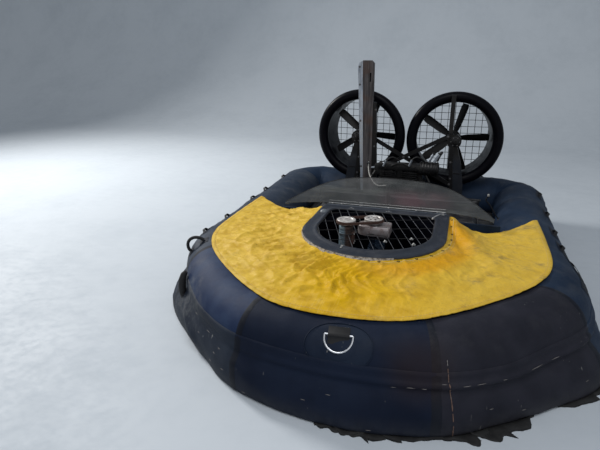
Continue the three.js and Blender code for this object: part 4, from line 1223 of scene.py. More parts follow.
# share from the outer edge (0) to the opening (1), height
COLLAR_PROFILE = [
    (0.0, 0.3832), (-0.02, 0.385), (-0.02, 0.3885), (0.02, 0.391), (0.2, 0.3914), (0.45, 0.391),
    (0.66, 0.3914), (0.78, 0.395), (0.88, 0.3995), (0.96, 0.4), (1.01, 0.397), (1.03, 0.3915),
    (1.02, 0.3865), (0.97, 0.3845), (0.6, 0.384), (0.3, 0.3834),
]


# the glue has let go forward of this y and to starboard of this x
FRAY_X, FRAY_Y = 0.16, -0.24
collar = Mould()
rows = []
for a, b in zip(OUTER, INNER):
    row = []
    torn = 0.1 * max(0.0, waver(a.x * 17, a.y * 17, 0.3) + 0.1) if a.x < 0.2 and a.y < FRAY_Y else 0.0
    for share, z in COLLAR_PROFILE:
        at = a.lerp(b, max(share, torn) if share < 0.1 else share)
        row.append(vec(at.x, at.y, z + swell((at.x, at.y, z), 0.09, 0.001)))
    rows.append(row)
collar.grid(rows, around=True, along=True)
collar.piece("fan_collar_rubber", COLLAR, slot="collar", replaces=["fan_collar"], sharp=70)
print("collar points", len(rows))

# %% [markdown]
# On the starboard side the cloth was glued to the collar and the glue has lifted: a frayed pale
# line. It is a thin ribbon over the joint, whose width and height wander as old glue does. Its
# outer edge lies on the deck, so the nearest deck point gives the height.

# %% Frayed glue line
NEAR = 12
near_deck = KDTree(len(DECK_ROWS) * NEAR)
for r, row in enumerate(DECK_ROWS):
    for k in range(NEAR):
        near_deck.insert((row[k].x, row[k].y, 0.0), r * NEAR + k)
near_deck.balance()


def deck_height(x, y):
    index = near_deck.find((x, y, 0.0))[1]
    return DECK_ROWS[index // NEAR][index % NEAR].z


glue = Mould()
ribbon = []
for j, p in enumerate(OUTER):
    if p.x > FRAY_X or p.y > FRAY_Y:
        continue
    away = (p - vec(0, COLLAR_EDGE[1])).normalized()
    front = 0.1 + 0.9 * exp(-((p.x + 0.02) / 0.11) ** 2)
    wide = 0.0012 + 0.02 * front * max(0.0, waver(j * 0.41, 0.2, 0.5) + 0.14)
    tall = 0.0008 + 0.0024 * front * abs(waver(j * 0.61, 4.0, 0.5))
    inner, outer, far, fall = (p + away * d for d in (wide * -0.5, 0.0015, 0.0025 + wide, 0.0045 + wide))
    ribbon.append([vec(*inner, 0.3912), vec(*p, 0.3915 + tall),
                   vec(*outer, max(0.388, deck_height(*outer)) + tall),
                   vec(*far, deck_height(*far) + 0.0026 + tall * 0.5),
                   vec(*fall, deck_height(*fall) + 0.0004)])
glue.grid(ribbon)
glue.piece("frayed_glue_line", GLUE, slot="deck_yellow")
print("glue points", len(ribbon))

# %% [markdown]
# The guard is a grille of plated rods in a bent rim. Each rod is cut where it meets the rim, found
# by crossing its line with the rim's outline. Fewer rods cross on top, and two rings carry the
# housing and the motor.

# %% Lift guard
LIFT_Y = -0.37
MOTOR_AT = (-0.13, -0.432)
ROD_PITCH = 0.048
ROD_TURN = radians(19.5)
GUARD_MIDDLE = vec(0, -0.35)


def crossings(outline, at, ahead):
    """Where a line through a point crosses a closed outline, as distances along the line."""
    found = []
    for a, b in zip(outline, outline[1:] + outline[:1]):
        edge, gap = b - a, a - at
        cross = ahead.x * edge.y - ahead.y * edge.x
        if abs(cross) > 1e-12 and 0 <= (gap.x * ahead.y - gap.y * ahead.x) / cross < 1:
            found.append((gap.x * edge.y - gap.y * edge.x) / cross)
    return (min(found), max(found)) if len(found) > 1 else None


RIM = round_front(0.298, -0.345, -0.048, 0.053)
guard = Mould()
guard.bar([(*p, 0.3945) for p in RIM], 0.0028, 8, closed=True, which=1)
along = vec(sin(ROD_TURN), -cos(ROD_TURN))
across = vec(along.y, -along.x)
rods = 0
# direction of the rods, direction of their spacing, spacing, height, finish
LAYERS = [(along, across, ROD_PITCH, 0.3935, 0), (across, along, 3 * ROD_PITCH, 0.3965, 1)]
for ahead, sideways, pitch, z, which in LAYERS:
    for k in range(-9, 10):
        at = GUARD_MIDDLE + sideways * (k * pitch)
        ends = crossings(RIM, at, ahead)
        if ends:
            guard.bar([(*(at + ahead * t), z) for t in ends], 0.0012, 8, which=which)
            rods += 1
for x, y, r in ((0.0, LIFT_Y, 0.052), (*MOTOR_AT, 0.042)):
    guard.bar([(*p, 0.3955) for p in circle(r, 40, x, y)], 0.0024, 8, closed=True, which=1)
guard.piece("lift_guard_rods", [WIRE, DARK_WIRE], slot="guard_wire", replaces=["lift_guard"])
print("guard rods", rods)

# %% [markdown]
# Small hardware round the opening: saddle clips with bolts that hold the rim down, a bent bracket
# at the port rear corner, and a domed rubber cap on the starboard side. Each bolt is a six-sided
# head on a washer.

# %% Clips, bracket and cap
# x, y, how far it is turned
CLIPS = [(0.031, -0.026, 0.0), (-0.103, -0.634, 1.3), (-0.19, -0.026, 0.0)]
CLIP_ARCH = [
    (-0.016, 0.001), (-0.008, 0.001), (-0.005, 0.0085), (0.005, 0.0085), (0.008, 0.001), (0.016, 0.001),
]
PADS = [(0.204, -0.448), (0.222, -0.521), (0.085, -0.522)]
BRACKET = [(0.284, -0.066, 0.398), (0.296, -0.052, 0.404), (0.318, -0.006, 0.404), (0.331, 0.02, 0.3945)]
CAP_DOME = [
    (0.0, 0.0125), (0.008, 0.0118), (0.015, 0.0092), (0.02, 0.005), (0.0225, 0.0005), (0.0235, -0.001),
]
clips = Mould()
for x, y, angle in CLIPS:
    place = shift(x, y, 0.3915) @ spin(angle)
    clips.grid([[(a, -0.006, h), (a, 0.006, h), (a, 0.006, h + 0.0015), (a, -0.006, h + 0.0015)]
                for a, h in CLIP_ARCH], around=True, place=place, ends=True)
    clips.bolts([place @ vec(side, 0, 0.0022) for side in (-0.0125, 0.0125)], UP, 0.0042, 0.0045)
for x, y in PADS:
    clips.block((x - 0.009, y - 0.007, 0.3965), (x + 0.009, y + 0.007, 0.401), 0.0012)
    clips.bolt((x, y, 0.4008), UP, 0.0048, 0.006)
clips.bar(BRACKET, 0.0032, 8)
clips.bolts([(0.284, -0.07, 0.3925), (0.334, 0.024, 0.3915)], UP, 0.006, 0.007)
clips.piece("guard_clips", ZINC, slot="guard_wire")

cap = Mould()
cap.turned(CAP_DOME, 32, place=shift(-0.334, -0.11, 0.3918))
cap.piece("collar_cap", CAP, slot="collar")
print("clips", len(CLIPS), "pads", len(PADS))

# %% [markdown]
# Two toothed pulleys carry the lift drive. Their faces are turned: a rim, a sunk web, a boss and a dark
# bore. The fan's pulley also has a ring of holes, modelled as small sunk cups in black, which paint the
# shade inside the holes. The belt is a band with cross ribs, and it doesn't turn with them, because it is
# one fixed loop in the frame.

# %% Pulleys and belt
PULLEY_LOW, PULLEY_HIGH, PULLEY_R = 0.446, 0.466, 0.0478
FACE = [(0.0, -0.008), (0.0068, -0.008), (0.0072, 0.0018), (0.015, 0.0018), (0.0162, -0.0022),
        (0.033, -0.0026), (0.0352, 0.0), (0.0462, 0.0), (PULLEY_R, -0.0014)]
HOLE = [(0.0, 0.0004), (0.004, 0.0004), (0.0044, 0.001), (0.0052, 0.0008), (0.0052, -0.001)]
# radius, height of the belt's corners
BELT_SECTION = [
    (0.0485, 0.4492), (0.0485, 0.4628), (0.0505, 0.4633), (0.0525, 0.4622), (0.0525, 0.4498),
    (0.0505, 0.4487),
]


def pulley(name, at, body, node, holes):
    made = Mould(shift(*at, PULLEY_HIGH))
    depth = PULLEY_HIGH - PULLEY_LOW
    made.turned(FACE + [(PULLEY_R, -0.0028), (0.0462, -0.0032), (0.0462, 0.0032 - depth),
                        (PULLEY_R, 0.0028 - depth), (PULLEY_R, -depth), (0.0, -depth)], 60)
    for a in angles(40):
        made.block((0.0455, -0.0018, 0.0036 - depth), (0.0474, 0.0018, -0.0036), 0.0004, place=spin(a))
    # painted shade: each hole is a shallow cup in the black engine finish, dark where a real hole is dark
    for x, y in circle(0.0245, holes):
        made.turned(HOLE, 16, 1, shift(x, y, -0.0022))
    made.piece(name, [DISC, ENGINE], body, "cast_alloy", [node])


pulley("lift_pulley_disc", (0.0, LIFT_Y), "lift_rotor", "lift_pulley", 6)
pulley("drive_pulley_disc", MOTOR_AT, "drive_rotor", "drive_pulley", 0)

heading = atan2(LIFT_Y - MOTOR_AT[1], -MOTOR_AT[0])
loop = [(Vector(centre), heading + side * pi / 2 + pi * k / 32)
        for centre, side in ((MOTOR_AT, 1), ((0.0, LIFT_Y), -1)) for k in range(33)]
rows = []
for k, (centre, a) in enumerate(loop):
    rib = 0.0008 if k % 2 else 0.0
    fray = 0.0006 * waver(k * 0.7, 0.0, 1.0)
    rows.append([(*(centre + vec(cos(a), sin(a)) * (r + (rib if r > 0.049 else 0.0))), z + fray)
                 for r, z in BELT_SECTION])
belt = Mould()
belt.grid(rows, around=True, along=True)
belt.piece("drive_belt_band", RUST, slot="rust_belt", replaces=["drive_belt"])
print("belt stations", len(rows))

# %% [markdown]
# The lift motor is a ribbed can with a terminal box on its port side, and the bearing housing is a
# rounded casting. Chamfers catch the light, which is what makes a casting look cast.

# %% Motor and housing
can = Mould(shift(*MOTOR_AT, 0))
profile = [(0.0, 0.3), (0.026, 0.3), (0.033, 0.304), (0.0358, 0.312)]
for k in range(9):
    z = 0.318 + k * 0.0105
    profile += [(0.0358, z), (0.0368, z + 0.0025), (0.0368, z + 0.006), (0.0358, z + 0.0085)]
profile += [(0.0362, 0.414), (0.0368, 0.418), (0.0368, 0.43), (0.0335, 0.435), (0.02, 0.437),
            (0.019, 0.4405), (0.0095, 0.4405), (0.009, 0.412)]
can.turned(profile, 56)
can.block((0.022, -0.02, 0.338), (0.0445, 0.02, 0.402), 0.003, 1)
can.bolts([(0.0442, y, z) for y in (-0.013, 0.013) for z in (0.346, 0.394)], (1, 0, 0), 0.0035, 0.003, 2)
can.piece("lift_motor_can", [MOTOR, RUST, ZINC], slot="aluminium", replaces=["lift_motor"])

HOUSING_LOW, HOUSING_HIGH = 0.38, 0.433
HOUSING_BOLTS = [(0.074, -0.036), (0.074, 0.036), (-0.052, 0.0), (0.022, -0.04), (0.022, 0.04)]
casting = Mould(shift(0, LIFT_Y, 0))
outline = [vec(0.09, -0.044), vec(0.09, 0.044), vec(0.084, 0.05)]
outline += [vec(-0.03 + 0.05 * cos(a), 0.05 * sin(a)) for a in (pi / 2 + pi * k / 24 for k in range(25))]
outline.append(vec(0.084, -0.05))
casting.slab(outline, HOUSING_LOW, HOUSING_HIGH, 0.0035)
casting.bolts([(x, y, HOUSING_HIGH - 0.0003) for x, y in HOUSING_BOLTS], UP, 0.0045, 0.0045, 1)
casting.turned([(0.0128, 0.0), (0.026, 0.0), (0.024, 0.0055), (0.0128, 0.006)], 40,
               place=shift(0, 0, HOUSING_HIGH - 0.0005))
casting.block((-0.04, -0.052, 0.394), (0.082, -0.049, 0.42), 0.001)
casting.piece("lift_housing_cast", [CAST, ZINC], slot="cast_alloy", replaces=["lift_bearing_housing"])
print("motor ribs", 9, "housing bolts", len(HOUSING_BOLTS))

# %% [markdown]
# The windscreen is a thin sheet of smoky plastic, arched in plan and curled a little from foot to
# top. Its tips droop over the side tubes. A thin closed sheet with a rounded rim looks better at
# grazing angles than a single surface, and its gloss comes from the shader alone.

# %% Windscreen
# x; foot y, z; top y, z of the port half
SCREEN_LINES = [
    (0.0, 0.052, 0.3965, 0.25, 0.525), (0.2, 0.052, 0.3965, 0.245, 0.517),
    (0.345, 0.052, 0.3965, 0.215, 0.497), (0.47, 0.042, 0.391, 0.155, 0.455),
    (0.56, 0.018, 0.385, 0.078, 0.414), (0.61, -0.006, 0.38, 0.014, 0.391),
]
SCREEN_THICK = 0.004
SCREEN_BOLTS = (-0.32, -0.265, -0.15, -0.14, 0.02, 0.18, 0.3, 0.335)


def screen_point(line, t, back=0.0):
    """A point at a share t of the way up a line; back counts the sheet's thickness."""
    x, fy, fz, ty, tz = line
    length = hypot(ty - fy, tz - fz)
    slope = vec(ty - fy, tz - fz) / length
    curl = 0.16 * length * t * (1 - t) + back * SCREEN_THICK
    return vec(x, fy + (ty - fy) * t - slope.y * curl, fz + (tz - fz) * t + slope.x * curl)


SCREEN_UP = np.linspace(0.0, 0.985, 18)
lines = open_spline([(-x, *rest) for x, *rest in SCREEN_LINES[:0:-1]] + SCREEN_LINES, 14)
rows = [[screen_point(line, t) for t in SCREEN_UP]
        + [screen_point(line, 1.0, back) for back in (0.25, 0.75)]
        + [screen_point(line, t, 1.0) for t in SCREEN_UP[::-1]] for line in lines]
screen = Mould()
screen.grid(rows, around=True, ends=True)
closed_mesh(screen.piece("windscreen_sheet", SMOKY, slot="smoky_screen", replaces=["windscreen"], sharp=50))

foot = Mould()
for lift, ahead, radius in ((0.0052, -0.003, 0.0013), (0.017, 0.01, 0.0007)):
    foot.bar([(x, 0.048 + ahead, 0.3965 + lift) for x in np.linspace(-0.345, 0.345, 24)], radius, 6)
foot.bolts([(x, 0.045, 0.3995) for x in SCREEN_BOLTS], (0, -0.5, 1), 0.0034, 0.0035)
foot.block((-0.352, 0.0405, 0.3962), (0.352, 0.0475, 0.3985), 0.0008, 1)
foot.bar([screen_point(line, 1.0, 0.5) for line in lines], 0.003, 8, which=1)
foot.piece("windscreen_trim", [ZINC, WEBBING], slot="aluminium")
print("screen lines", len(lines))

# %% [markdown]
# The ducts, fans, guards and rudders are drawn once about a duct's own axis and then turned six
# degrees and set in place on each side, as the solids are. A profile of the duct is turned about
# that axis: a fat rolled lip, the bore, the rear edge and the thin barrel outside.

# %% Thrust unit frame
DUCT_X, DUCT_Z, TOE_Y = 0.344, 0.667, 0.965
DUCT_FRONT, DUCT_REAR = 0.95, 1.22
LIP_R, LIP, WALL = 0.338, 0.037, 0.012
BORE = LIP_R - 2 * LIP
SHELL = BORE + WALL
FAN_Y, FAN_R, RUDDER_Y = 1.085, 0.254, 1.262
ARM_R = 0.303
# turns the local Z axis of a turned profile to the duct's axis, at its height
AXIAL = shift(0, 0, DUCT_Z) @ spin(-pi / 2, "X")


def unit(sign):
    """Carries a thing drawn about the line x = 0, z = DUCT_Z to its toed place."""
    return shift(sign * DUCT_X, TOE_Y, 0) @ spin(radians(sign * 6)) @ shift(0, -TOE_Y, 0)


def duct_profile():
    points = []
    for k in range(25):
        a = radians(-20) + radians(215) * k / 24
        points.append((LIP_R - LIP + LIP * cos(a), DUCT_FRONT + LIP - LIP * sin(a)))
    bore = [(0.0006, 0.06), (0.0, 0.09)]
    rear = [(0.0, -0.012), (0.001, -0.003), (0.006, 0.0), (0.011, -0.003), (WALL, -0.012)]
    points += [(BORE + r, DUCT_FRONT + y) for r, y in bore] + [(BORE + r, DUCT_REAR + y) for r, y in rear]
    return points + [(SHELL, DUCT_FRONT + 0.084), (SHELL + 0.01, DUCT_FRONT + 0.072),
                     (LIP_R - 0.012, DUCT_FRONT + 0.064)]


def duct(side, sign):
    """The shell, its two hoops, an arm above and below for the rudder's pin, and twelve bolts."""
    made = Mould(unit(sign))
    made.turned(duct_profile(), 128, place=AXIAL, closed=True)
    for y in (DUCT_FRONT + 0.105, DUCT_REAR - 0.03):
        hoop = [(0.0, -0.006), (0.003, -0.004), (0.003, 0.004), (0.0, 0.006)]
        made.turned([(SHELL + r, y + h) for r, h in hoop], 128, place=AXIAL)
    arms = ((BORE + 0.005, DUCT_REAR - 0.005, 0.002), (0.2935, RUDDER_Y - 0.006, 0.0015))
    for up in (1, -1):
        for inner, rear, bevel in arms:
            low, high = sorted((DUCT_Z + up * inner, DUCT_Z + up * ARM_R))
            made.block((-0.015, DUCT_REAR - 0.045, low), (0.015, rear, high), bevel)
        made.turned([(0.0056, -0.0048), (0.014, -0.0048), (0.014, 0.0048), (0.0056, 0.0048)], 24,
                    place=shift(0, RUDDER_Y, DUCT_Z + up * 0.2983), closed=True)
    for a in (2 * pi * (k + 0.5) / 12 for k in range(12)):
        foot_r = SHELL + 0.0005
        at = (foot_r * cos(a), DUCT_FRONT + 0.12, DUCT_Z + foot_r * sin(a))
        made.bolt(at, (cos(a), 0, sin(a)), 0.005, 0.004, 1)
    made.piece(f"thrust_duct_shell_{side}", [MOULDING, BOLT], slot="black_moulding",
               replaces=[f"thrust_duct_{side}"])


def duct_guard(side, sign):
    """A ring across the duct's rear with upright and level rods in front of and behind it."""
    made = Mould(unit(sign))
    y, ring_r, pitch = DUCT_REAR + 0.003, BORE * 1.022, 0.05
    made.bar([(x, y, z) for x, z in circle(ring_r, 96, 0.0, DUCT_Z)], 0.003, 8, closed=True)
    for k in range(-5, 6):
        off = (k + 0.25) * pitch
        if abs(off) < BORE:
            half = sqrt(ring_r ** 2 - off ** 2)
            made.bar([(off, y - 0.0008, DUCT_Z - half), (off, y - 0.0008, DUCT_Z + half)], 0.002, 6)
            made.bar([(-half, y + 0.0022, DUCT_Z + off), (half, y + 0.0022, DUCT_Z + off)], 0.002, 6)
    made.piece(f"thrust_guard_mesh_{side}", DARK_WIRE, slot="black_steel", replaces=[f"fan_guard_{side}"])


for side, sign in SIDES:
    duct(side, sign)
    duct_guard(side, sign)
print("duct profile points", len(duct_profile()))

# %% [markdown]
# Each fan has five paddle blades in a clamped hub. A blade is a stack of thin aerofoil sections,
# twisted less towards the tip, whose corners are rounded. The hub is turned, with bolts between
# the blades.

# %% Thrust fans
def aerofoil(chord, thick, points=9):
    """A closed section: along the chord from -0.5 to 0.5, and its thickness."""
    upper = []
    for k in range(points):
        t = 0.5 * (1 - cos(pi * k / (points - 1)))
        body = 2.6 * thick * (sqrt(max(t, 0)) * 0.62 - 0.28 * t - 0.34 * t * t)
        upper.append(((t - 0.5) * chord, max(body, 0.0) + 0.0006))
    return upper + [(c, -h * 0.45) for c, h in reversed(upper)]


def blades(made, first, root, tip, chord, pitch_root, pitch_tip, place):
    """Five blades round the local Z axis of place, each along a local X; angles in degrees."""
    rows = []
    for k in range(11):
        t = k / 10
        round_tip = sqrt(max(0.0, 1 - max(0.0, (t - 0.86) / 0.16) ** 2))
        c = chord * (0.66 + 0.34 * min(1.0, t * 4)) * (0.55 + 0.45 * round_tip)
        pitch = radians(pitch_root + (pitch_tip - pitch_root) * t)
        r, co, si = root + (tip - root) * t, cos(pitch), sin(pitch)
        section = aerofoil(c, 0.0075 * (1.3 - 0.5 * t))
        rows.append([(r, a * co - b * si, a * si + b * co) for a, b in section])
    for k in range(5):
        made.grid(rows, around=True, place=place @ spin(radians(first + 72 * k)), ends=True)


# local Z of a fan runs forward, and a blade's angle is counted from port upward
FAN_FRAME = shift(0, FAN_Y, DUCT_Z) @ spin(pi / 2, "X")
SHAFT_FRONT = 0.2096
HUB = [(0.0, -0.028), (0.046, -0.028), (0.052, -0.022), (0.052, -0.004), (0.05, 0.0), (0.052, 0.004),
       (0.052, 0.022), (0.046, 0.028), (0.038, 0.028), (0.036, 0.044), (0.028, 0.056), (0.014, 0.06),
       (0.0118, 0.06), (0.0118, SHAFT_FRONT - 0.002), (0.01, SHAFT_FRONT), (0.0, SHAFT_FRONT)]


def thrust_fan(side, sign, first):
    made = Mould(unit(sign))
    made.turned(HUB, 48, place=FAN_FRAME)
    blades(made, first, 0.04, FAN_R, 0.062, 42, 24, FAN_FRAME)
    between = [radians(first + 36 + 72 * k) for k in range(5)]
    made.bolts([FAN_FRAME @ vec(0.041 * cos(a), 0.041 * sin(a), 0.0275) for a in between], TO_BOW,
               0.0042, 0.0045, 1)
    made.piece(f"thrust_fan_rotor_{side}", [BLADE, BOLT], f"fan_{side}", "black_moulding",
               [f"thrust_fan_{side}"])


thrust_fan("port", 1, 2)
thrust_fan("starboard", -1, -3)
print("hub points", len(HUB))

# %% [markdown]
# The lift fan lies flat under the guard and is seen only in glimpses, but from above it shows. It gets the
# same blades on a vertical shaft, in a finish with painted glints.

# %% Lift fan
LIFT_HUB = [
    (0.0, 0.205), (0.052, 0.205), (0.06, 0.212), (0.06, 0.258), (0.05, 0.265), (0.02, 0.268),
    (0.0118, 0.276), (0.0118, 0.4455), (0.0, 0.4455),
]
lift = Mould(shift(0, LIFT_Y, 0))
lift.turned(LIFT_HUB, 48)
blades(lift, 20, 0.045, 0.282, 0.095, 38, 22, shift(0, 0, 0.235))
lift.piece("lift_fan_rotor", GLOSSY_PAINTED_GLINTS, "lift_rotor", "black_moulding", ["lift_fan"])
print("lift fan points", len(lift.points))

# %% [markdown]
# In front of each duct stands a pylon: a leg that widens outboard, a hub and a narrow bar up to
# the lip. The solids have the right shape, so they stay, and the dressing adds a folded flange on
# the leg's inboard edge, a domed cover over the shaft's end, bolts and small gussets.

# %% Pylon dressing
PYLON_FRONT = 0.8954
FLANGE_FRONT = PYLON_FRONT - 0.007
LEG_INNER = [(-0.006, 0.137), (-0.008, 0.35), (-0.021, 0.5), (-0.032, 0.667)]
COVER = [(0.037, -0.002), (0.037, 0.004), (0.034, 0.006), (0.024, 0.006), (0.022, 0.01),
         (0.016, 0.012), (0.0, 0.012)]


def pylon_dressing(side, sign):
    def at(x):
        return sign * (DUCT_X + x)

    made = Mould()
    made.grid([[(at(x - 0.001), PYLON_FRONT - 0.0004, z), (at(x - 0.001), FLANGE_FRONT, z),
                (at(x + 0.026), FLANGE_FRONT, z), (at(x + 0.026), PYLON_FRONT - 0.0004, z)]
               for x, z in LEG_INNER], around=True, ends=True)
    made.bolts([(at(0.008 + (0.5 - z) * 0.06 - 0.018), FLANGE_FRONT, z) for z in (0.17, 0.27, 0.4, 0.52)],
               TO_BOW, 0.0052, 0.005, 1)
    left, right = sorted((at(0.015), at(0.06)))
    for z in (0.3, 0.44):
        made.block((left, PYLON_FRONT - 0.004, z - 0.004), (right, PYLON_FRONT - 0.0002, z + 0.004), 0.001)
    cover = shift(*(unit(sign) @ vec(0, PYLON_FRONT - 0.004, DUCT_Z))) @ spin(pi / 2, "X")
    made.turned(COVER, 40, place=cover)
    made.bolts([cover @ vec(x, y, 0.0058) for x, y in circle(0.0295, 6)], TO_BOW, 0.0032, 0.003, 1)
    made.bolts([(at(x), y, 0.1353) for x in (-0.03, 0.11, 0.135) for y in (0.872, 0.888)], UP,
               0.0055, 0.0055, 1)
    made.piece(f"pylon_dressing_{side}", [STEEL, BOLT], slot="black_steel")


for side, sign in SIDES:
    pylon_dressing(side, sign)

BRACE_HOLES = [(-0.3, 0.7031), (0.336, 0.3585), (0.0, 0.5411)]
braces = Mould()
for sign, y in ((1, 0.8851), (-1, 0.8748)):
    braces.bolts([(sign * x, y, z) for x, z in BRACE_HOLES], TO_BOW, 0.006, 0.0055)
braces.piece("brace_bolts", BOLT, slot="black_steel")
print("brace bolts", 2 * len(BRACE_HOLES))

# %% [markdown]
# The rudders are thin foils with ribs. The solid is plain, so a smoother foil stands for it: a
# rounded nose at the pin, ribs as slight ridges, and end caps. It turns with its own body.

# %% Rudders
NOSE_TO_TAIL = [
    (0.0, -0.017), (0.0045, -0.0155), (0.0066, -0.01), (0.0072, 0.004), (0.0068, 0.024), (0.005, 0.062),
    (0.0032, 0.102), (0.0016, 0.134), (0.0, 0.138),
]
FOIL = NOSE_TO_TAIL + [(-x, y) for x, y in NOSE_TO_TAIL[-2:0:-1]]
RIBS = (-0.2, -0.1, 0.0, 0.1, 0.2)


def rudder(side, sign):
    made = Mould(unit(sign) @ shift(0, RUDDER_Y, DUCT_Z))
    rows = []
    for z in np.linspace(-0.282, 0.282, 95):
        fuller = 1 + 0.16 * max(exp(-((z - r) / 0.006) ** 2) for r in RIBS)
        rows.append([(x * fuller, y, float(z)) for x, y in FOIL])
    made.grid(rows, around=True, ends=True)
    made.bar([(0, 0, -0.306), (0, 0, 0.306)], 0.0049, 16, which=1)
    made.piece(f"rudder_foil_{side}", [MOULDING, ZINC], f"rudder_{side}", "black_moulding",
               [f"rudder_{side}"])


for side, sign in SIDES:
    rudder(side, sign)
print("rudder ribs", len(RIBS))

# %% [markdown]
# Behind the seat sits the thrust engine. It is one plain block in the solids. Here it becomes a
# crankcase with two finned cylinders, a fan cowl, a carburettor box and two silver elbows.
# The fins are thin plates in a loop, which is how they are on the real thing.

# %% Engine
# low corner, high corner, bevel: crankcase, its cover, cowls, air box, legs of the frame, elbow box
ENGINE_BLOCKS = [
    ((-0.165, 0.705, 0.126), (0.172, 0.845, 0.262), 0.012),
    ((-0.15, 0.7, 0.262), (0.156, 0.84, 0.3), 0.008),
    ((0.126, 0.702, 0.3), (0.176, 0.82, 0.402), 0.014),
    ((-0.166, 0.702, 0.3), (-0.152, 0.818, 0.388), 0.004),
    ((-0.16, 0.716, 0.474), (0.15, 0.8, 0.52), 0.012),
    ((-0.034, 0.755, 0.298), (0.018, 0.805, 0.48), 0.006),
    ((0.108, 0.77, 0.298), (0.15, 0.812, 0.48), 0.006),
    ((-0.186, 0.726, 0.43), (-0.11, 0.79, 0.508), 0.01),
]
BARREL = [(0.044, 0.3), (0.044, 0.468), (0.03, 0.476), (0.012, 0.48), (0.012, 0.492), (0.0, 0.492)]
STARTER = [(0.0, 0.0), (0.052, 0.0), (0.058, 0.006), (0.058, 0.022), (0.05, 0.03), (0.0, 0.03)]
FILTER_RING = [(0.049, 0.01), (0.0455, 0.014), (0.0455, 0.021), (0.049, 0.025)]
# low end, high end of the two silver elbows
ELBOWS = [((0.19, 0.722, 0.548), (0.222, 0.726, 0.606)), ((0.228, 0.726, 0.546), (0.262, 0.73, 0.606))]
# path, radius, finish of the short pipes
PIPES = [
    ([(-0.208, 0.742, 0.478), (-0.186, 0.738, 0.482), (-0.15, 0.736, 0.488)], 0.0065, 2),
    ([(-0.15, 0.734, 0.486), (-0.134, 0.732, 0.506), (-0.117, 0.732, 0.521)], 0.0075, 2),
    ([(-0.06, 0.714, 0.506), (-0.022, 0.708, 0.526), (0.02, 0.708, 0.528), (0.064, 0.714, 0.508)],
     0.006, 0),
]
BEND = [(0.262, 0.73, 0.6), (0.272, 0.74, 0.612), (0.27, 0.76, 0.606), (0.256, 0.776, 0.58),
        (0.244, 0.78, 0.545)]
# finish of the hose's collar, then the hose
HOSES = [
    (2, [(-0.12, 0.712, 0.5), (-0.098, 0.704, 0.545), (-0.06, 0.716, 0.566), (-0.02, 0.728, 0.548),
         (0.0, 0.728, 0.515)]),
    (2, [(0.06, 0.712, 0.512), (0.078, 0.704, 0.556), (0.11, 0.71, 0.578), (0.15, 0.724, 0.56),
         (0.168, 0.735, 0.536)]),
    (0, [(-0.17, 0.735, 0.47), (-0.2, 0.722, 0.42), (-0.196, 0.716, 0.35), (-0.168, 0.712, 0.3),
         (-0.12, 0.704, 0.262)]),
    (0, [(0.176, 0.742, 0.45), (0.205, 0.728, 0.4), (0.2, 0.72, 0.33), (0.176, 0.72, 0.28)]),
]
engine = Mould()
for low, high, bevel in ENGINE_BLOCKS:
    engine.block(low, high, bevel)
for x in (-0.088, 0.062):
    for k in range(12):
        z = 0.306 + k * 0.0138
        reach = 0.062 if k < 9 else 0.054
        engine.block((x - reach, 0.712, z), (x + reach, 0.832, z + 0.0042), 0.0012)
    engine.turned(BARREL, 32, place=shift(x, 0.772, 0))
for x in (-0.14 + 0.04 * k for k in range(7)):
    engine.block((x, 0.7125, 0.48), (x + 0.006, 0.7175, 0.514), 0.001)
engine.turned(STARTER, 40, place=shift(0.0, 0.7015, 0.215) @ spin(pi / 2, "X"))
engine.bolts([(x, 0.7015, 0.283) for x in (-0.13, 0.0, 0.13)], TO_BOW, 0.0055, 0.006, 1)
canister = [(0.0, 0.0), (0.04, 0.0), (0.049, 0.006)]
canister += [(r, h + 0.019 * k) for k in range(6) for r, h in FILTER_RING]
canister += [(0.046, 0.127), (0.03, 0.132), (0.0, 0.132)]
engine.turned(canister, 40, place=shift(0.13, 0.752, 0.494) @ spin(pi / 2, "Y"))
for low, high in (map(Vector, ends) for ends in ELBOWS):
    engine.bar([low, low.lerp(high, 0.5), high], [0.01, 0.0095, 0.0095], 14, which=2)
    engine.bar([low.lerp(high, 0.92), high + vec(0.002, 0, 0.004)], 0.0115, 14)
engine.bar(open_spline(BEND, 5), 0.01, 12)
for path, radius, which in PIPES:
    engine.bar(path, radius, 10, which=which)
for which, hose in HOSES:
    engine.bar(open_spline(hose, 7), 0.0052, 10)
    engine.bar(open_spline(hose[:2], 3), 0.0072, 12, which=which)
engine.piece("thrust_engine_dressed", [ENGINE, ZINC, ALLOY], slot="cast_alloy", replaces=["thrust_engine"],
             sharp=35)
print("engine faces", len(engine.faces))

# %% [markdown]
# The tall post ahead of the starboard duct is a weathered board with a bright metal strip down one
# edge and a black channel behind the other. The solids keep their shape; grain, bolts and worn
# corners make the rest.

# %% Post
fixings = Mould()
for z in (0.22, 0.47, 0.8, 1.05, 1.17):
    edge = -0.268 - 0.044 * (z - 0.125) / 1.087
    fixings.bolt((edge - 0.01 - 0.012 * (z - 0.125), 0.802, z), TO_BOW, 0.005, 0.0045)
fixings.bolts([(-0.206, 0.808, z) for z in (0.3, 0.62, 0.88)], TO_BOW, 0.005, 0.005)
fixings.block((-0.252, 0.793, 0.494), (-0.228, 0.805, 0.502), 0.001)
fixings.bolt((-0.2525, 0.805, 0.498), TO_BOW, 0.004, 0.004)
fixings.block((-0.264, 0.8454, 1.062), (-0.245, 0.8476, 1.138), 0.0008)
fixings.piece("post_fixings", BOLT, slot="aluminium")
print("post fixings", len(fixings.faces), "faces")

# %% [markdown]
# Some solids are right as they are, so they keep their mesh and only take a finish: the pylons and
# their braces, the three parts of the post, and the plain parts of the cockpit and the lift duct.

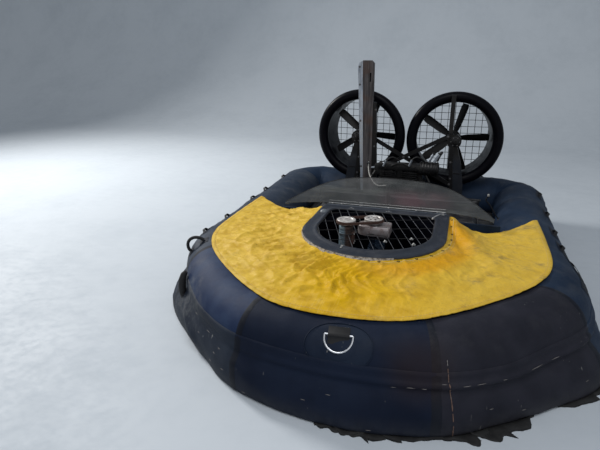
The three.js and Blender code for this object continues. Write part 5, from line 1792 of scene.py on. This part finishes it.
# %% Solids that take a finish
PAINTED = {
    "fan_pylon_port": LEG, "fan_pylon_starboard": LEG,
    "duct_saddle_port": MOULDING, "duct_saddle_starboard": MOULDING,
    "duct_brace_rising_port": STEEL, "duct_brace_rising_starboard": STEEL,
    "post_timber": TIMBER, "post_strip": STRIP, "post_channel": STEEL,
    "floor_panel": BOARD, "cockpit_bulkhead": REAR_NAVY, "windscreen_rail": ALLOY,
    "lift_duct": DUCT_INSIDE, "stick_socket": STEEL, "control_stick": STEEL,
}
for node, finish in PAINTED.items():
    NODES[node].data.materials[0] = finish
print("painted solids", len(PAINTED))

# %% [markdown]
# The cockpit is plain: a painted floor and bulkhead, a bench and a stick. The bench is stuffed vinyl, so it
# is blown up by a short cloth simulation from a slightly smaller block, and its piping is laid on
# afterwards, because the remesh would erase it.

# %% Bench cushions
# low and high corners of the two blocks of the bench, and how far a point may swell
BENCH = ((-0.56, 0.39, 0.1256), (0.56, 0.64, 0.235), 0.012)
BACKREST = ((-0.56, 0.6, 0.2356), (0.56, 0.652, 0.345), 0.008)
INSET = 0.01
FRAMES = 20


def bake(made):
    """Applies the modifiers of a piece to its mesh, and gives the places of its points."""
    graph = bpy.context.evaluated_depsgraph_get()
    graph.update()
    mesh = bpy.data.meshes.new_from_object(made.evaluated_get(graph))
    made.modifiers.clear()
    made.data = mesh
    return np.array([v.co for v in mesh.vertices])


def stuffed(name, low, high, most, node):
    shape = Mould()
    low = Vector(low) + vec(INSET, INSET * 0.6, 0.002)
    high = Vector(high) - vec(INSET, INSET * 0.6, INSET)
    shape.block(low, high, 0.014)
    made = shape.piece(name, VINYL, slot="seat_cloth", replaces=[node], sharp=180)
    made.parent = None
    remesh = made.modifiers.new("voxels", "REMESH")
    remesh.mode = "VOXEL"
    remesh.voxel_size = 0.0075
    remesh.use_smooth_shade = True
    before = bake(made)
    cloth = made.modifiers.new("stuffing", "CLOTH")
    cloth.settings.use_pressure = True
    cloth.settings.uniform_pressure_force = 4.0
    cloth.settings.effector_weights.gravity = 0
    cloth.settings.tension_stiffness = 25
    cloth.settings.compression_stiffness = 25
    for number in range(1, FRAMES + 1):
        SCENE.frame_set(number)
    move = bake(made) - before
    SCENE.frame_set(1)
    size = np.linalg.norm(move, axis=1)
    after = before + move * np.minimum(1.0, most / np.maximum(size, 1e-9))[:, None]
    after[:, 2] = np.maximum(after[:, 2], low.z - 0.001)
    made.data.vertices.foreach_set("co", after.astype(np.float32).ravel())
    made.data.update()
    made.data.shade_smooth()
    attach(made, "hull")
    return made


cushion = stuffed("bench_cushion", *BENCH, "seat_cushion")
stuffed("bench_backrest", *BACKREST, "seat_back")
print("cushion points", len(cushion.data.vertices))

# %% [markdown]
# A line of piping closes each cushion's upper edge. It is a bent bar along the block's outline,
# which is cheaper than a sewn seam in the simulation and stays even.

# %% Piping
piping = Mould()
for (x0, y0, z0), (x1, y1, z1), edge in (BENCH, BACKREST):
    left, right, front, rear = x0 + edge, x1 - edge, y0 + edge, y1 - edge
    loop = [vec(x, y, z1 - 0.016) for x, y in ((left, front), (right, front), (right, rear), (left, rear))]
    path = [a.lerp(b, k / 14) for a, b in zip(loop, loop[1:] + loop[:1]) for k in range(1, 14)]
    piping.bar(path, 0.0036, 8, closed=True)
piping.piece("bench_piping", WEBBING, slot="seat_cloth")
print("piping points", len(piping.points))

# %% [markdown]
# The stick tilts from side to side, so its rubber grip rides on it. A bellows closes the socket, from its
# lower rim on the floor up to its upper rim round the stick; it rides on no body. The throttle cable, also
# on no body, runs from the post to the back of the grip.

# %% Stick, bellows and throttle cable
STICK = vec(-0.02, 0.3, 0.0)
grip = Mould(shift(*STICK))
profile = [(0.0142, 0.352), (0.0165, 0.354)]
for k in range(9):
    z = 0.36 + k * 0.0115
    profile += [(0.0165, z), (0.015, z + 0.003), (0.015, z + 0.005), (0.0165, z + 0.008)]
profile += [(0.0165, 0.466), (0.015, 0.4712), (0.009, 0.4735), (0.0, 0.474)]
grip.turned(profile, 32)
grip.piece("stick_grip", WEBBING, "stick", "black_steel")

bellows = Mould(shift(*STICK))
profile = [(0.046, 0.1345), (0.046, 0.137)]
for t in (k / 5 for k in range(6)):
    r, z = 0.043 - 0.024 * t, 0.14 + 0.075 * t
    profile += [(r, z), (r - 0.005, z + 0.0065)]
profile += [(0.0125, 0.225), (0.0108, 0.227)]
bellows.turned(profile, 40)
bellows_piece = bellows.piece("stick_bellows", WEBBING, body=None, slot="black_steel")
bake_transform(bellows_piece)

CABLE_ROUTE = [
    (-0.24, 0.8002, 0.508), (-0.24, 0.8, 0.488), (-0.236, 0.78, 0.462), (-0.215, 0.7, 0.441),
    (-0.184, 0.6, 0.434), (-0.14, 0.48, 0.431), (-0.098, 0.4, 0.437), (-0.06, 0.362, 0.45),
    (-0.028, 0.34, 0.46), (-0.02, 0.326, 0.463), (-0.02, 0.3146, 0.463),
]
cable = Mould()
cable.bar(open_spline(CABLE_ROUTE, 7), 0.004, 12)
for end, near in (CABLE_ROUTE[:2], CABLE_ROUTE[:-3:-1]):
    cable.bar([end, Vector(end).lerp(Vector(near), 0.95)], 0.0052, 12, which=1)
cable_piece = cable.piece("throttle_cable_sheath", [PALE, ZINC], body=None, slot="cable_sheath",
                          replaces=["throttle_cable"])
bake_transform(cable_piece)
print("cable points", len(cable.points))

# %% [markdown]
# The tow ring hangs from a webbing tab on the bow, over a round reinforcing patch that follows the
# tube. The patch is a disc whose every point is dropped onto the tube's own form, with a
# thin second layer on top.

# %% Tow ring and patch
TOW = shift(0.04, -1.3091, 0.28174) @ spin(radians(5.13)) @ spin(radians(-37.94), "X")
# half width, half height, lift of the two layers
PATCH_LAYERS = [(0.13, 0.098, 0.0022), (0.066, 0.05, 0.0046)]
RING_HALF, RING_Y, RING_TOP = 0.052, -0.0105, 0.036
TAB_FOLD = [
    (-0.0052, 0.066), (-0.007, 0.048), (-0.0135, 0.041), (-0.0162, 0.036), (-0.015, 0.03), (-0.0095, 0.026),
    (-0.006, 0.018), (-0.0052, 0.002),
]


def on_hull(u, v, lift):
    """The point on the bow tube under a place (u, v) of the patch, lifted along the normal."""
    p = TOW @ vec(u, 0, v)
    xy = np.array([p.x, p.y])
    near = station_at(*xy)
    off = float(offset_from_line(xy[None])[0])
    a = atan2((p.z - TUBE_Z) / TUBE_RZ, (off + TUBE_RX) / TUBE_RX)
    slide = float((xy - LINE[near, :2]) @ ALONG[near])
    base = LINE[near, :2] + OUT[near] * TUBE_RX * (cos(a) - 1) + ALONG[near] * slide
    q = vec(*base, TUBE_Z + TUBE_RZ * sin(a))
    bulge = air_swell(q) - TUBE_SLACK + tube_crease(q) * max(0.0, sin(a) * 0.5 + 0.5)
    return q + round_tube(near, a) * (lift + bulge)


def patch_ring(half_u, half_v, count, lift):
    return [on_hull(half_u * cos(a), half_v * sin(a) - 0.004, lift) for a in angles(count)]


patch = Mould()
for half_u, half_v, lift in PATCH_LAYERS:
    patch.grid([patch_ring(half_u * k / 8, half_v * k / 8, 64, lift if k < 8 else lift - 0.002)
                for k in range(9)], around=True)
patch.bar(patch_ring(0.127, 0.095, 72, 0.0022), 0.0019, 6, closed=True)
patch.piece("tow_patch_layers", PATCH, slot="hull_navy", replaces=["tow_patch"], sharp=60)

ring = Mould(TOW)
ends = [(RING_HALF, RING_Y, RING_TOP), (-RING_HALF, RING_Y, RING_TOP)]
arch = [(RING_HALF * cos(a), RING_Y, 0.026 - RING_HALF * 1.02 * sin(a))
        for a in (pi * k / 32 for k in range(33))]
ring.bar(ends[:1] + arch + ends[1:], 0.004, 14)
ring.bar(ends[::-1], 0.004, 14)
ring.piece("tow_ring_bar", CHROME, slot="steel_bright", replaces=["tow_ring"])

tab = Mould(TOW)
tab.grid([[(-0.04, y, z), (-0.036, y - 0.0022, z), (0.036, y - 0.0022, z), (0.04, y, z)]
          for y, z in TAB_FOLD])
tab.piece("tow_tab", WEBBING, slot="hull_navy")
print("patch points", len(patch.points))

# %% [markdown]
# Webbing loops run along both shoulders of the hull. Each is a strap sewn down at its two ends on a
# small patch, standing off in between. One function places them all from a station number, an
# angle round the tube and a length.

# %% Shoulder loops
def skin_point(i, angle, lift):
    """A point on the tube's skin at a station and an angle up from its widest line."""
    row = TUBE_ROWS[i % STATIONS]
    k = angle / (2 * pi) * TUBE_SIDES
    a, b = row[int(k) % TUBE_SIDES], row[(int(k) + 1) % TUBE_SIDES]
    return a.lerp(b, k - int(k)) + round_tube(i, angle) * lift


straps = Mould()


def strap(i, angle, stations, stand, wide=0.05):
    """A loop along the hull, over a number of stations, standing off the skin in the middle."""
    count = 4 * stations
    rows = []
    for k in range(count + 1):
        s = i + stations * (k / count) - stations / 2
        a = int(s // 1)
        lift = 0.0035 + stand * sin(pi * clamp((k / count - 0.16) / 0.68))
        top = [skin_point(a, angle + w * wide, lift).lerp(skin_point(a + 1, angle + w * wide, lift), s - a)
               for w in (-1, 0, 1)]
        rows.append(top + [p - vec(0, 0, 0.0022) for p in reversed(top)])
    straps.grid(rows, around=True, ends=True)
    straps.grid([[skin_point(i + k, angle + w * wide * 2.4, 0.0022) for w in (-1.3, -0.4, 0.4, 1.3)]
                 for k in range(-stations, stations + 1)], which=1)


# x, y on the outline; angle up the shoulder in degrees; length in stations; how far it stands off
LOOPS = [
    (-0.99, -0.455, 52, 4, 0.014), (-1.0, -0.16, 50, 4, 0.016), (-1.0, 0.25, 54, 4, 0.014),
    (-1.0, 0.494, 52, 4, 0.018), (-1.0, 0.918, 50, 4, 0.014), (1.0, 0.968, 46, 4, 0.016),
    (1.0, 0.494, 46, 4, 0.016), (1.0, 0.136, 48, 4, 0.016), (1.0, -0.1, 46, 4, 0.016),
    (0.55, 1.37, 50, 6, 0.022), (-0.55, 1.37, 50, 6, 0.022), (1.0, -0.33, 38, 15, 0.004),
]
for x, y, degrees, stations, stand in LOOPS:
    strap(station_at(x, y), radians(degrees), stations, stand)

# one thick handle stands across the starboard shoulder
HANDLE = station_at(-0.965, -0.665)
HANDLE_TOP, HANDLE_FOOT = 62, 30
straps.bar([skin_point(HANDLE, radians(HANDLE_TOP + (HANDLE_FOOT - HANDLE_TOP) * t),
                       0.004 + 0.044 * sin(pi * t) ** 0.7) for t in (k / 16 for k in range(17))], 0.0085, 10)
for degrees in (HANDLE_TOP, HANDLE_FOOT):
    straps.grid([[skin_point(HANDLE + a, radians(degrees + b), 0.0024) for b in (-8, 0, 8)]
                 for a in (-2, 0, 2)], which=1)
straps.piece("shoulder_loops", [WEBBING, TAPE], slot="hull_charcoal", sharp=60)
print("loops", len(LOOPS))

# %% [markdown]
# On the starboard shoulder a thick moulded hand grip stands out of the skirt's bead, and on the
# port tube a small valve stalk has a white cap. They are turned and bent from a few points each.

# %% Hand grip and valve
# how far out and how high the grip's middle line runs, and its radius there
GRIP_LINE = [
    (-0.006, 0.29, 0.01), (0.006, 0.276, 0.015), (0.014, 0.252, 0.018), (0.018, 0.22, 0.019),
    (0.018, 0.188, 0.018), (0.014, 0.16, 0.015), (0.006, 0.142, 0.01),
]
i = station_at(-0.86, -0.88)
origin = vec(*LINE[i][:2], -0.03) + outward(i) * 0.008
hand = Mould()
hand.bar([origin + outward(i) * d + vec(0, 0, z) for d, z, _ in GRIP_LINE], [r for _, _, r in GRIP_LINE], 14)
hand.piece("hand_grip_starboard", WEBBING, slot="hull_charcoal")

VALVE_ROOT = (0.668, 0.452, 0.262)
STALK = [VALVE_ROOT, (0.646, 0.448, 0.29), (0.604, 0.438, 0.356), (0.577, 0.427, 0.388),
         (0.587, 0.405, 0.424)]
valve = Mould()
valve.bar(open_spline(STALK, 5), 0.004, 10)
valve.turned([(0.0, 0.006), (0.01, 0.005), (0.018, 0.002), (0.02, -0.004)], 24,
             place=shift(*VALVE_ROOT) @ spin(radians(-62), "Y"))
valve.turned([(0.0, 0.0), (0.0065, 0.0), (0.0068, 0.01), (0.004, 0.013), (0.0, 0.0135)], 16, 1,
             shift(0.587, 0.405, 0.422))
valve.piece("valve_stalk", [WEBBING, PALE], slot="black_steel")
print("grip points", len(hand.points), "valve points", len(valve.points))

# %% [markdown]
# The hem has torn: strips of worn cloth lie on the ground along the bow. Each strip is a ragged
# ribbon whose edge follows smooth noise, a little curled, that starts under the hem.

# %% Torn hem
# first and last place along the bow as x on the hem, how far it reaches out
RAGS = [(-0.02, 0.16, 0.03), (0.06, 0.24, 0.044), (0.22, 0.42, 0.026), (0.4, 0.56, 0.06),
        (0.5, 0.72, 0.07), (0.8, 1.0, 0.05)]
# share of the reach, share of the trailing, height, share of the wave
RAG_SECTION = [(0.4, 0.2, 0.004, 1), (0.75, 0.6, 0.0025, 1), (1.0, 1.0, 0.0012, 0)]


def bow_station(x):
    """The station of the bow whose x is nearest."""
    return min(range(STATIONS), key=lambda i: abs(LINE[i][0] - x) + (LINE[i][1] > -0.55) * 9)


rags = Mould()
for x0, x1, reach in RAGS:
    first, last = bow_station(x0), bow_station(x1)
    if first > last:
        first -= STATIONS
    rows = []
    for k in range(41):
        t = k / 40
        s = first + (last - first) * t
        i = int(s) % STATIONS
        out = outward(i)
        along = vec(*ALONG[i], 0) * (1 if ALONG[i][0] > 0 else -1)
        hem = vec(*LINE[i][:2], 0) + out * (LINE[i][2] - 0.012) + along * STATION * (s - int(s))
        tongue = (t * 1.25 + x0 * 3 + 0.3 * waver(t * 3, x0 * 9, 0.0)) % 1
        ragged = 0.25 + 0.55 * tongue ** 0.8 + 0.6 * waver(t * 6 + x0 * 20, 0.4, 0.0)
        fringe = reach * sin(pi * t) ** 0.35 * max(0.1, ragged)
        trail = along * fringe * 0.3 * tongue
        wave = 0.003 * (1 + sin(t * 9 + x0 * 30))
        rows.append([hem + vec(0, 0, 0.0035)]
                    + [hem + out * (0.012 + fringe * far) + trail * behind + vec(0, 0, z + wave * waved)
                       for far, behind, z, waved in RAG_SECTION])
    rags.grid(rows)
thicken(rags.piece("torn_hem_strips", RAGGED, slot="skirt", sharp=60), 0.0009)
print("rags", len(RAGS))
